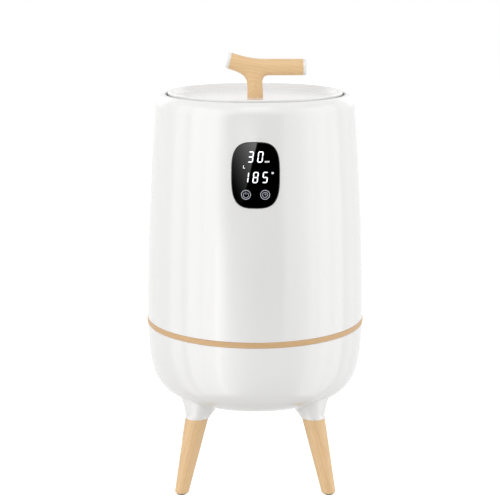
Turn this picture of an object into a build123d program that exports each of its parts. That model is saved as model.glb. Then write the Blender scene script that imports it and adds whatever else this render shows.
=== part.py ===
"""Towel warmer bucket: a heated drum in a white barrel on four splayed wooden legs.

Millimetres, +Z up, front towards -Y. The origin is on the floor under the barrel's axis.
Every node is written, where it is used, to a STEP file of its own.
"""
import os
from math import cos, hypot, radians, sin

from build123d import *

# ---------------------------------------------------------------- driving dimensions
# common
WALL = 3.0                # moulded shells
GAP = 0.05                # between faces of one body that touch
CLEAR = 0.4               # between pieces that move past each other
EDGE_ROUND = 0.6          # moulded rims beside the wood band
FAR = 400.0               # longer than anything that it cuts

# barrel: radii and heights of its side, shoulder and mouth
RING_Z, RING_HALF = 225.0, 3.75
BARREL_BOTTOM_R, SHOULDER_R, MOUTH_R = 150.8, 136.5, 123.0
SHOULDER_Z, RIM_Z = 521.5, 539.5
SIDE_LOW_PULL, SIDE_HIGH_PULL = 0.6, 8.1
SHELL_BOTTOM_Z = RING_Z + RING_HALF
BOWL_TOP_Z = RING_Z - RING_HALF - GAP
RING_R, RING_ROUND = 151.5, 1.0
SEAT_R = 144.3            # inner edge of the ring and of the shell's bottom lip
LIP_ROUND, SKIRT_DROP = 1.6, 8.0

# bowl
BOWL_BOTTOM_Z = 114.9
BOWL_FLAT_R = 54.0
BOWL_SIDE_PULL, BOWL_CORNER_PULL, BOWL_PULL_Z = 1.7, 14.3, 17.0
SPIGOT_DROPS = (7.0, 13.0)

# legs: axes cross the joint plane at the top radius and the floor at the foot radius
LEG_COUNT, LEG_FIRST_ANGLE = 4, 45.0
LEG_TOP_AXIS_R, LEG_TOP_Z = 113.0, 103.2
LEG_FOOT_AXIS_R = 143.4
LEG_TOP_RADIUS, LEG_FOOT_RADIUS = 15.5, 9.3
LEG_LENGTH = hypot(LEG_FOOT_AXIS_R - LEG_TOP_AXIS_R, LEG_TOP_Z)
LEG_OVERRUN = 8.0         # past both ends, before the level cuts
FOOT_ROUND = 2.2
SOCKET_RADIUS = 15.7
SOCKET_FLARE = ((19.3, 9.5), (25.4, 22.0), (35.3, 36.0))
SOCKET_FILLET = 6.0
PAD_RADIUS, PAD_HEIGHT = 6.5, 1.5
STUD_RADIUS, STUD_DEPTH = 4.0, 20.0
INSERT_RADIUS, INSERT_START, INSERT_DEPTH = 6.0, 2.2, 16.0

# screws between the bowl and the barrel, in towers on a circle
TOWER_COUNT = 4
TOWER_AXIS_R, TOWER_RADIUS, TOWER_TOP_Z = 100.0, 6.5, 200.0
SCREW_SEAT_Z = 186.0
SCREW_HEAD_R, SCREW_HEAD_H, SCREW_HEAD_ROUND = 4.0, 2.85, 1.2
SCREW_SHANK_R, SCREW_LENGTH = 2.0, 26.0
SLOT_LENGTH, SLOT_WIDTH, SLOT_DEPTH = 4.4, 1.0, 1.15
TOWER_BORE_R, HEAD_BORE_R = 2.2, 4.6

# collar, drum and plate
RECESS_R, LEDGE_R, LEDGE_Z = 121.4, 108.2, 523.1
LEDGE_THICK = 2.5
COLLAR_DROP, CLIP_TOP, CLIP_BOTTOM, CLIP_REACH = 0.9, 8.2, 10.7, 5.0
DRUM_SKIRT, DRUM_SKIRT_WALL = 8.6, 2.0
DRUM_WALL, DRUM_FLOOR_Z = 1.2, 248.0
DRUM_TOP_R, DRUM_BOTTOM_R = 110.6, 105.6
DRUM_TOP_Z = LEDGE_Z - LEDGE_THICK - GAP
DRUM_FLOOR_ROUND, DRUM_FLANGE_ROUND = 8.0, 0.8
GASKET_INSET, GASKET_BEAD_INSET, GASKET_LOW, GASKET_HIGH = 3.0, 5.0, 0.9, 1.5
FILM_SPAN, FILM_LAYER = (262.0, 470.0), (0.1, 0.9)
WOOL_SPAN, WOOL_LAYER = (258.0, 508.0), (1.0, 14.0)
PLATE_Z, PLATE_THICK, PLATE_R, PLATE_HOLE_R = 231.8, 3.0, 147.0, 34.0
RIB_R, RIB_WALL = 93.0, 3.0
SPOKE_COUNT, SPOKE_R, SPOKE_SIZE = 8, 115.0, (40.0, 2.5, 6.0)
SPOKE_FIRST_ANGLE = 22.5
PILLAR_R, PILLAR_BORE_R, PILLAR_BORE_END = 5.5, 2.05, 6.0

# parts clipped under the drum's floor, as (x, y)
THERMOSTAT_PLACE, SENSOR_PLACE = (0.0, -18.0), (-18.0, 10.0)
THERMOSTAT_FLANGE, THERMOSTAT_CAN = (8.5, 2.2), (6.8, 8.0)
BLADE_X, BLADE_SIZE, BLADE_END = 3.2, (0.8, 4.8, 4.2), 12.0
SENSOR_FLANGE, SENSOR_STEM = (4.5, 1.0), (2.6, 6.5)
FUSE_X, FUSE_DROP = 16.0, 2.4
FUSE_BODY, FUSE_LEADS = (2.0, 12.0, 24.0), (0.5, 7.0, 28.0)

# supply board in the bowl
BOARD_Z, BOARD_SIZE = 138.0, (116.0, 76.0, 1.6)
BOARD_CORNERS = [(x, y) for x in (-50, 50) for y in (-30, 30)]
BOARD_PILLAR_R, BOARD_PILOT_R, BOARD_PILOT_DEPTH, BOARD_HOLE_R = 3.5, 1.65, 9.0, 1.8
BOARD_SCREW_HEAD, BOARD_SCREW_SHANK = (3.2, 2.0), (1.6, 8.0)
RELAY_PLACE, RELAY_SIZE = (-30.0, 18.0), (19.0, 15.5, 15.5)
CORE_PLACE, CORE_SIZE = (12.0, 10.0), (32.0, 27.0, 22.0)
COIL_SIZE, COIL_LIFT = (22.0, 35.0, 14.0), 4.0
CAPACITOR_Y = -20.0
CAPACITORS = ((0.0, 5.0, 16.0), (14.0, 5.0, 16.0), (26.0, 3.2, 11.0))
TERMINAL_PLACE, TERMINAL_SIZE = (-30.0, -22.0), (32.0, 11.0, 12.0)
TERMINAL_COUNT, TERMINAL_PITCH, TERMINAL_HOLE_R, TERMINAL_HOLE_Z = 4, 8.0, 2.2, 7.0

# control panel
PANEL_Z, PANEL_HALF_W, PANEL_HALF_H, PANEL_POWER = 448.6, 30.9, 42.3, 3.2
PANEL_STEPS = 32
LENS_PROUD, LENS_THICK, LENS_EDGE_ROUND = 0.8, 2.6, 0.6
KEY_X, KEY_Z, KEY_RADIUS, KEY_TRAVEL = 12.3, 424.0, 6.6, 0.6
KEY_EDGE_ROUND, KEY_PROUD, KEY_HOLE_CLEAR = 0.3, 1.0, 0.3
KEY_BACK, KEY_FLANGE_REACH = -3.6, 1.3
KEY_STEM_R, KEY_STEM_FRONT = 2.0, -141.5
FRAME_CLEAR, FRAME_WALL, FRAME_CLIP, FRAME_CLIP_THICK = 0.3, 2.0, 5.0, 2.0
FRONT_Y, BACK_Y = -160.0, -100.0
BOARD_Y, BOARD_THICK = -129.5, 1.6
PANEL_BOARD_W, PANEL_BOARD_H, PANEL_BOARD_ROUND = 54.0, 80.0, 6.0
PANEL_CORNERS = [(x, PANEL_Z + z) for x in (-18.5, 18.5) for z in (-35.2, 35.2)]
PANEL_PILLAR_R, PANEL_PILLAR_LENGTH, PANEL_PILOT_R = 2.8, 5.0, 1.05
PANEL_SCREW_R, PANEL_SCREW_DEPTH, PANEL_SCREW_HEAD_R, PANEL_SCREW_HEAD_H = 1.0, 3.8, 1.9, 1.2
DIGIT_Z = (472.4, 446.2)
DIGIT_X, DIGIT_SIZE, DIGIT_FACE, DIGIT_RECESS = 2.0, (34.0, 6.4, 17.0), (31.0, 15.0), 0.5
SWITCH_SIZE, PLUNGER_R, PLUNGER_LENGTH = (6.0, 3.6, 6.0), 1.7, 1.0
CABLE_X, CABLE_Y, CABLE_Z = 11.5, -127.4, 145.0
CABLE_HALF_WIDTH, CABLE_THICK, CABLE_BEND = 4.5, 0.5, 16.0
CABLE_TOP_Z, CABLE_TURN_Z, CABLE_PLUG_Y = 436.0, 172.0, -33.0
PLUG_SIZE, CABLE_SLOT = (12.0, 6.0, 7.6), (12.0, 4.0, 20.0)

# lid
LID_R, LID_BOTTOM_Z, LID_TOP_Z = 119.2, 524.9, 542.4
LID_WALL, DISH_DEPTH = 2.2, 8.0
DISH_Z = LID_TOP_Z - DISH_DEPTH
COVER_UNDER_Z = DISH_Z - LID_WALL
RIM_WIDTH, DISH_INSET, RIM_UNDER, RIM_HOLLOW = 3.4, 9.5, 2.6, 5.6
BASE_THICK = 2.2
BASE_TOP_Z = LID_BOTTOM_Z + BASE_THICK
BASE_R = LID_R - LID_WALL - 0.2
BASE_RIB = (2.5, 4.5)
LID_SCREW_COUNT, LID_SCREW_ANGLE, LID_SCREW_R = 4, 45.0, 70.0
BOSS_R, BOSS_BORE_R = 4.2, 1.5
LID_SCREW_HEAD, LID_SCREW_SHANK_R, LID_SCREW_REACH = (3.2, 0.95), 1.4, 4.0
FOAM_R, FOAM_HOLE_R, FOAM_BOSS_R = 104.0, 11.0, 4.6

# grip: heights above the lid's rim, and points as (x, height)
GRIP_DEPTH, GRIP_ROUND = 22.0, 10.2
GRIP_TOP, GRIP_LOW, GRIP_REACH = 43.4, 21.2, 65.0
STEM_HALF = 10.9
SHORT_ARM_TOP, SHORT_ARM_LOW = (-31.4, 51.6), (-36.7, 30.2)
CAP_LENGTH, CAP_ROUND, CAP_GROW = 4.4, 2.0, 0.1
CAP_PLACES = ((65.0, 32.3, 90.0), (-34.05, 40.9, -76.1))
GRIP_BORE_R, GRIP_BORE_DEPTH, DISH_BORE_R = 2.5, 26.0, 2.8
GRIP_SCREW_HEAD, GRIP_SCREW_R, GRIP_SCREW_REACH = (4.4, 2.7), 2.4, 24.0
WASHER_R, WASHER_HOLE_R, WASHER_THICK = 9.0, 2.6, 1.25

# aroma cup
CUP_R, CUP_WALL, CUP_BOTTOM_Z = 25.2, 1.6, 506.9
CUP_ROUND, CUP_INNER_ROUND = 4.0, 2.5
EAR_R, EAR_WIDTH, EAR_Z, EAR_THICK = 34.4, 13.0, 514.4, 4.0
EAR_START, EAR_ROUND = 27.0, 3.0
SOCKET_RING_R, SOCKET_RING_WALL, SOCKET_RING_BOTTOM_Z = 31.0, 2.0, 519.0
NECK_R, NECK_WALL, NECK_TOP_Z, NECK_STEP = 28.8, 2.0, 523.4, 0.6
BAYONET_COUNT, BAYONET_FIRST, BAYONET_ANGLE = 3, 90.0, 36.0
BAYONET_THICK, BAYONET_LIFT = 1.8, 2.2
VENT_COUNT, VENT_R, VENT_LENGTH, VENT_WIDTH = 8, 13.0, 11.0, 2.6
PAD_DISC_R, PAD_DISC_THICK = 21.0, 3.0

# cord gland
GLAND_Z, GLAND_BORE_R, GLAND_NECK_R = 151.0, 3.6, 6.5
GLAND_INNER_Y, GLAND_OUTER_Y = 132.0, 150.0
GLAND_FLANGE, GLAND_CLIP = (9.0, 145.6, 147.6), (8.0, 132.0, 134.5)
GLAND_NOSE_RADII = (6.4, 5.4)

# ---------------------------------------------------------------- shared shapes
UPRIGHT = (Align.CENTER, Align.CENTER, Align.MIN)
HANGING = (Align.CENTER, Align.CENTER, Align.MAX)
BEHIND = (Align.CENTER, Align.MIN, Align.CENTER)
BEFORE = (Align.CENTER, Align.MAX, Align.CENTER)


def turned(*points, radius=0):
    """A closed outline of (radius, height) points, turned about the barrel's axis."""
    if isinstance(radius, (int, float)) and radius == 0:
        outline = Polyline(*points, close=True)
    else:
        outline = FilletPolyline(*points, radius=radius, close=True)
    return revolve(Plane.XZ * make_face(outline.edges()), Axis.Z)


def turned_edges(edges):
    """A closed chain of (radius, height) edges, turned about the barrel's axis."""
    return revolve(Plane.XZ * make_face(edges), Axis.Z)


def tube(outer_radius, inner_radius, bottom, top):
    """An upright round tube on the barrel's axis; a disc where the inner radius is 0."""
    body = Pos(0, 0, bottom) * Cylinder(outer_radius, top - bottom, align=UPRIGHT)
    if inner_radius == 0:
        return body
    return body - Pos(0, 0, bottom) * Cylinder(inner_radius, top - bottom, align=UPRIGHT)


def rod(radius, bottom, top, x=0.0, y=0.0):
    """An upright round rod at (x, y)."""
    return Pos(x, y, bottom) * Cylinder(radius, top - bottom, align=UPRIGHT)


def rod_along_y(radius, start, end, x, z):
    """A round rod from y = start to y = end."""
    return Pos(x, start, z) * Rot(-90, 0, 0) * Cylinder(radius, end - start, align=UPRIGHT)


def block(place, bottom, size):
    """An upright block that stands at a place (x, y) and a height."""
    return Pos(*place, bottom) * Box(*size, align=UPRIGHT)


def around(count, first=0.0):
    """Turns about the barrel's axis, evenly spaced."""
    return [Rot(0, 0, first + index * 360 / count) for index in range(count)]


def barrel_curve(offset=0.0):
    """The barrel's side from the ring to the shoulder, moved outwards by offset."""
    rise = (SHOULDER_Z - SHELL_BOTTOM_Z) / 3
    return Bezier(
        (BARREL_BOTTOM_R + offset, SHELL_BOTTOM_Z),
        (BARREL_BOTTOM_R - SIDE_LOW_PULL + offset, SHELL_BOTTOM_Z + rise),
        (SHOULDER_R + SIDE_HIGH_PULL + offset, SHELL_BOTTOM_Z + 2 * rise),
        (SHOULDER_R + offset, SHOULDER_Z),
    )


def barrel_band(outer, inner):
    """A band that follows the barrel's side, between two offsets from its surface."""
    front, back = barrel_curve(outer), barrel_curve(inner)
    return turned_edges([front, Line(front @ 1, back @ 1), back, Line(back @ 0, front @ 0)])


def barrel_core(offset):
    """Everything inside the barrel's side, moved outwards by offset."""
    side = barrel_curve(offset)
    top, bottom = (0, SHOULDER_Z), (0, SHELL_BOTTOM_Z)
    return turned_edges([side, Line(side @ 1, top), Line(top, bottom), Line(bottom, side @ 0)])


def signed_power(value, power):
    """The size of a value raised to a power, with the value's own sign."""
    return abs(value) ** power * (1 if value >= 0 else -1)


def panel_block(grow, back=BACK_Y):
    """The panel's rounded outline as a block along Y; grow moves the outline outwards."""
    half_w, half_h = PANEL_HALF_W + grow, PANEL_HALF_H + grow
    points = []
    for step in range(PANEL_STEPS):
        angle = radians(step * 360 / PANEL_STEPS)
        across, up = cos(angle), sin(angle)
        points.append((
            half_w * signed_power(across, 2 / PANEL_POWER),
            half_h * signed_power(up, 2 / PANEL_POWER),
        ))
    face = make_face(Spline(*points, periodic=True))
    return Pos(0, back, PANEL_Z) * (Plane.XZ * extrude(face, back - FRONT_Y))


def leg_places():
    """The leg axes: origin where each crosses the joint plane, +Z up along the leg."""
    lean = Vector(LEG_TOP_AXIS_R - LEG_FOOT_AXIS_R, 0, LEG_TOP_Z)
    plane = Plane(origin=(LEG_TOP_AXIS_R, 0, LEG_TOP_Z), z_dir=lean)
    return [turn * plane.location for turn in around(LEG_COUNT, LEG_FIRST_ANGLE)]


def rim_edge(body, radius, height):
    """The full round edge of that radius about the barrel's axis, at that height."""
    return [
        edge for edge in body.edges().filter_by(GeomType.CIRCLE)
        if abs(edge.radius - radius) < 0.01 and abs((edge @ 0.5).Z - height) < 0.01
    ]


def group(solids):
    """Several separate solids as one node."""
    return Compound(children=list(solids))


def save(shape, node):
    """Writes one node."""
    export_step(shape, f"parts/{node}.step")


# ---------------------------------------------------------------- bowl and legs
def bowl_curve(inset=0.0):
    """The bowl's side and underside, from the rim to the flat, moved inwards by inset."""
    return Bezier(
        (BARREL_BOTTOM_R - inset, BOWL_TOP_Z),
        (BARREL_BOTTOM_R - BOWL_SIDE_PULL - inset, BOWL_BOTTOM_Z + BOWL_PULL_Z + inset / 2),
        (BARREL_BOTTOM_R - BOWL_CORNER_PULL - inset, BOWL_BOTTOM_Z + inset),
        (BOWL_FLAT_R, BOWL_BOTTOM_Z + inset),
    )


def bowl_core(inset):
    """Everything inside the bowl's surface, moved inwards by inset."""
    side = bowl_curve(inset)
    top, bottom = (0, BOWL_TOP_Z), (0, BOWL_BOTTOM_Z + inset)
    return turned_edges([side, Line(side @ 1, bottom), Line(bottom, top), Line(top, side @ 0)])


def leg_socket():
    """One flared socket on its own axis: it runs past the joint and sinks into the bowl."""
    low, joint = (SOCKET_RADIUS, -LEG_OVERRUN), (SOCKET_RADIUS, 0)
    flare = Bezier(joint, *SOCKET_FLARE)
    top = (0, SOCKET_FLARE[-1][1])
    foot = (0, -LEG_OVERRUN)
    return turned_edges([Line(foot, low), Line(low, joint), flare, Line(flare @ 1, top), Line(top, foot)])


def is_socket_joint(edge):
    """True for the curved edges where a socket's flare meets the bowl."""
    box = edge.bounding_box()
    beside_bowl = box.min.Z > LEG_TOP_Z + 3 and box.max.Z < BOWL_TOP_Z - 20
    return beside_bowl and edge.geom_type != GeomType.CIRCLE


def bowl_outside():
    """The bowl's solid outside with its four sockets, cut level at the leg joints."""
    body = bowl_core(0)
    for place in leg_places():
        body += place * leg_socket()
    body = fillet(body.edges().filter_by(is_socket_joint), SOCKET_FILLET)
    return body - Pos(0, 0, LEG_TOP_Z) * Box(FAR, FAR, FAR, align=HANGING)


def spigot():
    """The step at the bowl's top that centres the wood band and the shell."""
    outer, inner = SEAT_R - 0.3, SEAT_R - 2.8
    high, (middle, low) = PLATE_Z - CLEAR, SPIGOT_DROPS
    wall_r = BARREL_BOTTOM_R - 2.2
    return turned(
        (outer, BOWL_TOP_Z), (outer, high), (inner, high),
        (inner, BOWL_TOP_Z - middle), (wall_r, BOWL_TOP_Z - low), (wall_r, BOWL_TOP_Z),
    )


def base_bowl():
    """The bowl with its four sockets, screw towers, board pillars and spigot."""
    body = bowl_outside() - bowl_core(WALL)
    tower = rod(TOWER_RADIUS, BOWL_BOTTOM_Z, TOWER_TOP_Z, TOWER_AXIS_R) & bowl_core(WALL / 2)
    for turn in around(TOWER_COUNT):
        body += turn * tower
    body += spigot()
    body = fillet(rim_edge(body, BARREL_BOTTOM_R, BOWL_TOP_Z), EDGE_ROUND)
    for turn in around(TOWER_COUNT):
        body -= turn * rod(TOWER_BORE_R, LEG_TOP_Z, TOWER_TOP_Z + 1, TOWER_AXIS_R)
        body -= turn * rod(HEAD_BORE_R, LEG_TOP_Z, SCREW_SEAT_Z, TOWER_AXIS_R)
    for place in leg_places():
        bore = Cylinder(INSERT_RADIUS, INSERT_DEPTH + LEG_OVERRUN, align=UPRIGHT)
        body -= place * Pos(0, 0, -LEG_OVERRUN) * bore
    for x, y in BOARD_CORNERS:
        body += rod(BOARD_PILLAR_R, BOWL_BOTTOM_Z + WALL / 3, BOARD_Z, x, y)
        body -= rod(BOARD_PILOT_R, BOARD_Z - BOARD_PILOT_DEPTH, BOARD_Z + 1, x, y)
    return body - rod_along_y(GLAND_NECK_R + GAP, GLAND_INNER_Y - 12, GLAND_OUTER_Y + 10, 0, GLAND_Z)


def leg():
    """One tapered leg on its own axis, too long at both ends, with its stud hole."""
    taper = (LEG_TOP_RADIUS - LEG_FOOT_RADIUS) / LEG_LENGTH
    low_radius = LEG_FOOT_RADIUS - taper * LEG_OVERRUN
    high_radius = LEG_TOP_RADIUS + taper * LEG_OVERRUN
    whole = LEG_LENGTH + 2 * LEG_OVERRUN
    body = Pos(0, 0, -LEG_LENGTH - LEG_OVERRUN) * Cone(low_radius, high_radius, whole, align=UPRIGHT)
    hole = Cylinder(STUD_RADIUS + GAP, STUD_DEPTH + LEG_OVERRUN, align=UPRIGHT)
    return body - Pos(0, 0, -STUD_DEPTH) * hole


def placed_leg(place):
    """A leg under its socket, cut level at both ends and rounded at the foot."""
    height = LEG_TOP_Z - GAP - PAD_HEIGHT
    body = place * leg() & Pos(0, 0, PAD_HEIGHT) * Box(FAR, FAR, height, align=UPRIGHT)
    foot = body.edges().sort_by(Axis.Z)[0]
    return fillet(foot, FOOT_ROUND)


def foot_axis_radius():
    """The radius at which a leg's axis meets the top of its pad."""
    slope = (LEG_FOOT_AXIS_R - LEG_TOP_AXIS_R) / LEG_TOP_Z
    return LEG_FOOT_AXIS_R - slope * PAD_HEIGHT


def leg_parts():
    """Legs, pads, hanger bolts and threaded inserts."""
    names = ("rear_right", "rear_left", "front_left", "front_right")
    for name, place in zip(names, leg_places()):
        save(placed_leg(place), f"leg_{name}")
    pad = rod(PAD_RADIUS, 0, PAD_HEIGHT, foot_axis_radius())
    save(group(turn * pad for turn in around(LEG_COUNT, LEG_FIRST_ANGLE)), "foot_pads")
    stud = Cylinder(STUD_RADIUS, STUD_DEPTH + INSERT_DEPTH - 1, align=UPRIGHT)
    save(group(place * Pos(0, 0, -STUD_DEPTH) * stud for place in leg_places()), "leg_bolts")
    length = INSERT_DEPTH - INSERT_START - GAP
    insert = Cylinder(INSERT_RADIUS - GAP, length, align=UPRIGHT)
    insert -= Cylinder(STUD_RADIUS + GAP, length, align=UPRIGHT)
    save(group(place * Pos(0, 0, INSERT_START) * insert for place in leg_places()), "leg_inserts")


def cord_gland():
    """The rubber bushing that a lead passes through at the back of the bowl."""
    nose_y = GLAND_FLANGE[2]
    body = rod_along_y(GLAND_NECK_R, GLAND_INNER_Y, nose_y - 0.6, 0, GLAND_Z)
    for radius, start, end in (GLAND_FLANGE, GLAND_CLIP):
        body += rod_along_y(radius, start, end, 0, GLAND_Z)
    nose = Cone(*GLAND_NOSE_RADII, GLAND_OUTER_Y - nose_y, align=UPRIGHT)
    body += Pos(0, nose_y, GLAND_Z) * Rot(-90, 0, 0) * nose
    return body - rod_along_y(GLAND_BORE_R, GLAND_INNER_Y - 1, GLAND_OUTER_Y + 1, 0, GLAND_Z)


# ---------------------------------------------------------------- barrel
def accent_ring():
    """The wood band between the barrel and the bowl, with eased outer edges."""
    bottom, top = RING_Z - RING_HALF, RING_Z + RING_HALF - GAP
    corners = ((SEAT_R, bottom), (RING_R, bottom), (RING_R, top), (SEAT_R, top))
    return turned(*corners, radius=[0, RING_ROUND, RING_ROUND, 0])


def shell_section():
    """The barrel's wall as a closed chain of side, shoulder, lip, skirt and their insides."""
    side, inner = barrel_curve(), barrel_curve(-WALL)
    lip_end, skirt_z, under_z = (MOUTH_R, RIM_Z - LIP_ROUND), RIM_Z - SKIRT_DROP, RIM_Z - WALL - 0.4
    skirt_in, skirt_out = (MOUTH_R, skirt_z), (MOUTH_R + WALL, skirt_z)
    shoulder = Bezier(
        side @ 1, (SHOULDER_R - 0.9, RIM_Z - 7), (MOUTH_R + 8.5, RIM_Z), (MOUTH_R + LIP_ROUND, RIM_Z),
    )
    lip = Bezier(shoulder @ 1, (MOUTH_R + 0.6, RIM_Z), (MOUTH_R, RIM_Z - 0.6), lip_end)
    under = Bezier((MOUTH_R + WALL, under_z), (MOUTH_R + 7.5, under_z), (133.0, under_z - 5.1), inner @ 1)
    return [
        side, shoulder, lip, Line(lip_end, skirt_in), Line(skirt_in, skirt_out),
        Line(skirt_out, under @ 0), under, inner, Line(inner @ 0, side @ 0),
    ]


def outer_shell():
    """The barrel with its rolled shoulder, mouth lip, bottom lip and panel window."""
    body = turned_edges(shell_section())
    body += tube(BARREL_BOTTOM_R - 1, SEAT_R, SHELL_BOTTOM_Z, SHELL_BOTTOM_Z + WALL)
    body = fillet(rim_edge(body, BARREL_BOTTOM_R, SHELL_BOTTOM_Z), EDGE_ROUND)
    return body - panel_block(CLEAR)


def top_collar():
    """The collar in the mouth: recess wall, lid ledge, clip flange and drum skirt."""
    under, skirt = LEDGE_Z - LEDGE_THICK, LEDGE_Z - LEDGE_THICK - DRUM_SKIRT
    top, clip_top, clip_low = RIM_Z - COLLAR_DROP, RIM_Z - CLIP_TOP, RIM_Z - CLIP_BOTTOM
    wall_out, clip_out, body_out = MOUTH_R - 0.1, MOUTH_R + CLIP_REACH, MOUTH_R + 0.9
    skirt_out = LEDGE_R + DRUM_SKIRT_WALL
    return turned(
        (RECESS_R, top), (wall_out, top), (wall_out, clip_top), (clip_out, clip_top),
        (clip_out, clip_low), (body_out, clip_low), (body_out, under), (skirt_out, under),
        (skirt_out, skirt), (LEDGE_R, skirt), (LEDGE_R, LEDGE_Z), (RECESS_R, LEDGE_Z),
    )


def heat_drum():
    """The drawn aluminium drum with its flange under the collar's ledge."""
    outer, floor = DRUM_FLOOR_ROUND + DRUM_WALL, DRUM_FLOOR_Z + DRUM_WALL
    under, flange_r = DRUM_TOP_Z - DRUM_WALL, MOUTH_R - 1
    return turned(
        (0, DRUM_FLOOR_Z), (DRUM_BOTTOM_R + DRUM_WALL, DRUM_FLOOR_Z),
        (DRUM_TOP_R + DRUM_WALL, under), (flange_r, under), (flange_r, DRUM_TOP_Z),
        (DRUM_TOP_R, DRUM_TOP_Z), (DRUM_BOTTOM_R, floor), (0, floor),
        radius=[
            0, outer, DRUM_FLANGE_ROUND, 0, 0,
            DRUM_FLANGE_ROUND + DRUM_WALL, DRUM_FLOOR_ROUND, 0,
        ],
    )


def drum_side(height, offset):
    """A point beside the drum's outer wall, as (radius, height)."""
    share = (height - DRUM_FLOOR_Z) / (DRUM_TOP_Z - DRUM_FLOOR_Z)
    return (DRUM_BOTTOM_R + DRUM_WALL + share * (DRUM_TOP_R - DRUM_BOTTOM_R) + offset, height)


def drum_wrap(span, layer):
    """A sleeve round the drum between two heights and two distances from its wall."""
    (bottom, top), (near, far) = span, layer
    corners = ((bottom, near), (bottom, far), (top, far), (top, near))
    return turned(*(drum_side(height, offset) for height, offset in corners))


def rim_gasket():
    """The lid's soft seat on the ledge, with a bead along its middle."""
    inner, outer = LEDGE_R + GASKET_INSET, RECESS_R - GASKET_INSET
    bead_in, bead_out = LEDGE_R + GASKET_BEAD_INSET, RECESS_R - GASKET_BEAD_INSET
    low, shoulder, top = LEDGE_Z + GAP, LEDGE_Z + GASKET_LOW, LEDGE_Z + GASKET_HIGH
    return turned(
        (inner, low), (outer, low), (outer, shoulder), (bead_out, top), (bead_in, top), (inner, shoulder),
    )


def drum_cradle():
    """The round plate that closes the bowl, carries the drum and takes the screws."""
    top = PLATE_Z + PLATE_THICK
    body = tube(PLATE_R, PLATE_HOLE_R, PLATE_Z, top)
    body += tube(RIB_R, RIB_R - RIB_WALL, top, DRUM_FLOOR_Z - GAP)
    for turn in around(TOWER_COUNT):
        body += turn * rod(PILLAR_R, TOWER_TOP_Z + GAP, PLATE_Z + 1, TOWER_AXIS_R)
    for turn in around(SPOKE_COUNT, SPOKE_FIRST_ANGLE):
        body += turn * block((SPOKE_R, 0), top, SPOKE_SIZE)
    for turn in around(TOWER_COUNT):
        body -= turn * rod(PILLAR_BORE_R, TOWER_TOP_Z - 1, PLATE_Z - PILLAR_BORE_END, TOWER_AXIS_R)
    return body - Pos(CABLE_X, CABLE_Y, PLATE_Z) * Box(*CABLE_SLOT)


def shell_screw():
    """One pan-head screw in its tower, pointing up."""
    head_top = SCREW_SEAT_Z - GAP
    head_low = head_top - SCREW_HEAD_H
    head = rod(SCREW_HEAD_R, head_low, head_top, TOWER_AXIS_R)
    head = fillet(head.edges().sort_by(Axis.Z)[0], SCREW_HEAD_ROUND)
    depth = 2 * SLOT_DEPTH
    cross = Box(SLOT_LENGTH, SLOT_WIDTH, depth) + Box(SLOT_WIDTH, SLOT_LENGTH, depth)
    head -= Pos(TOWER_AXIS_R, 0, head_low) * cross
    return head + rod(SCREW_SHANK_R, head_top, head_top + SCREW_LENGTH, TOWER_AXIS_R)


# ---------------------------------------------------------------- heating parts under the drum
def stepped_can(place, flange, can):
    """Two stacked discs under the drum's floor, each as (radius, depth below the floor)."""
    top = DRUM_FLOOR_Z - GAP
    (flange_r, flange_depth), (can_r, can_depth) = flange, can
    upper = rod(flange_r, top - flange_depth, top, *place)
    return upper + rod(can_r, top - can_depth, top - flange_depth, *place)


def thermostat():
    """A snap-disc thermostat against the drum's floor, with two blade terminals."""
    body = stepped_can(THERMOSTAT_PLACE, THERMOSTAT_FLANGE, THERMOSTAT_CAN)
    x, y = THERMOSTAT_PLACE
    for side in (-BLADE_X, BLADE_X):
        body += block((x + side, y), DRUM_FLOOR_Z - GAP - BLADE_END, BLADE_SIZE)
    return body


def thermal_fuse():
    """A one-shot fuse lying under the drum's floor in its clip."""
    z = DRUM_FLOOR_Z - FUSE_DROP
    return rod_along_y(*FUSE_BODY, FUSE_X, z) + rod_along_y(*FUSE_LEADS, FUSE_X, z)


def supply_board():
    """The supply board with its four screw holes."""
    low = BOARD_Z + GAP
    board = block((0, 0), low, BOARD_SIZE)
    for x, y in BOARD_CORNERS:
        board -= rod(BOARD_HOLE_R, low - 1, low + BOARD_SIZE[2] + 1, x, y)
    return board


def terminal_block(top):
    """The mains terminal block with its screw wells."""
    body = block(TERMINAL_PLACE, top, TERMINAL_SIZE)
    first = TERMINAL_PLACE[0] - (TERMINAL_COUNT - 1) * TERMINAL_PITCH / 2
    low, high = top + TERMINAL_HOLE_Z, top + TERMINAL_SIZE[2] + 1
    for index in range(TERMINAL_COUNT):
        x = first + index * TERMINAL_PITCH
        body -= rod(TERMINAL_HOLE_R, low, high, x, TERMINAL_PLACE[1])
    return body


def board_fastener(top, x, y):
    """One screw from above through the supply board into its pillar."""
    (head_r, head_h), (shank_r, depth) = BOARD_SCREW_HEAD, BOARD_SCREW_SHANK
    return rod(head_r, top, top + head_h, x, y) + rod(shank_r, top - depth, top, x, y)


def power_board_parts():
    """The supply board on its pillars in the bowl, and what stands on it."""
    save(supply_board(), "power_board")
    top = BOARD_Z + BOARD_SIZE[2] + 2 * GAP
    relay = block(RELAY_PLACE, top, RELAY_SIZE)
    save(fillet(relay.edges().filter_by(Axis.Z), 1.0), "relay")
    core = block(CORE_PLACE, top, CORE_SIZE)
    save(core + block(CORE_PLACE, top + COIL_LIFT, COIL_SIZE), "transformer")
    cans = (rod(radius, top, top + height, x, CAPACITOR_Y) for x, radius, height in CAPACITORS)
    save(group(cans), "capacitors")
    save(terminal_block(top), "terminal_block")
    save(group(board_fastener(top, x, y) for x, y in BOARD_CORNERS), "board_screws")


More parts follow.
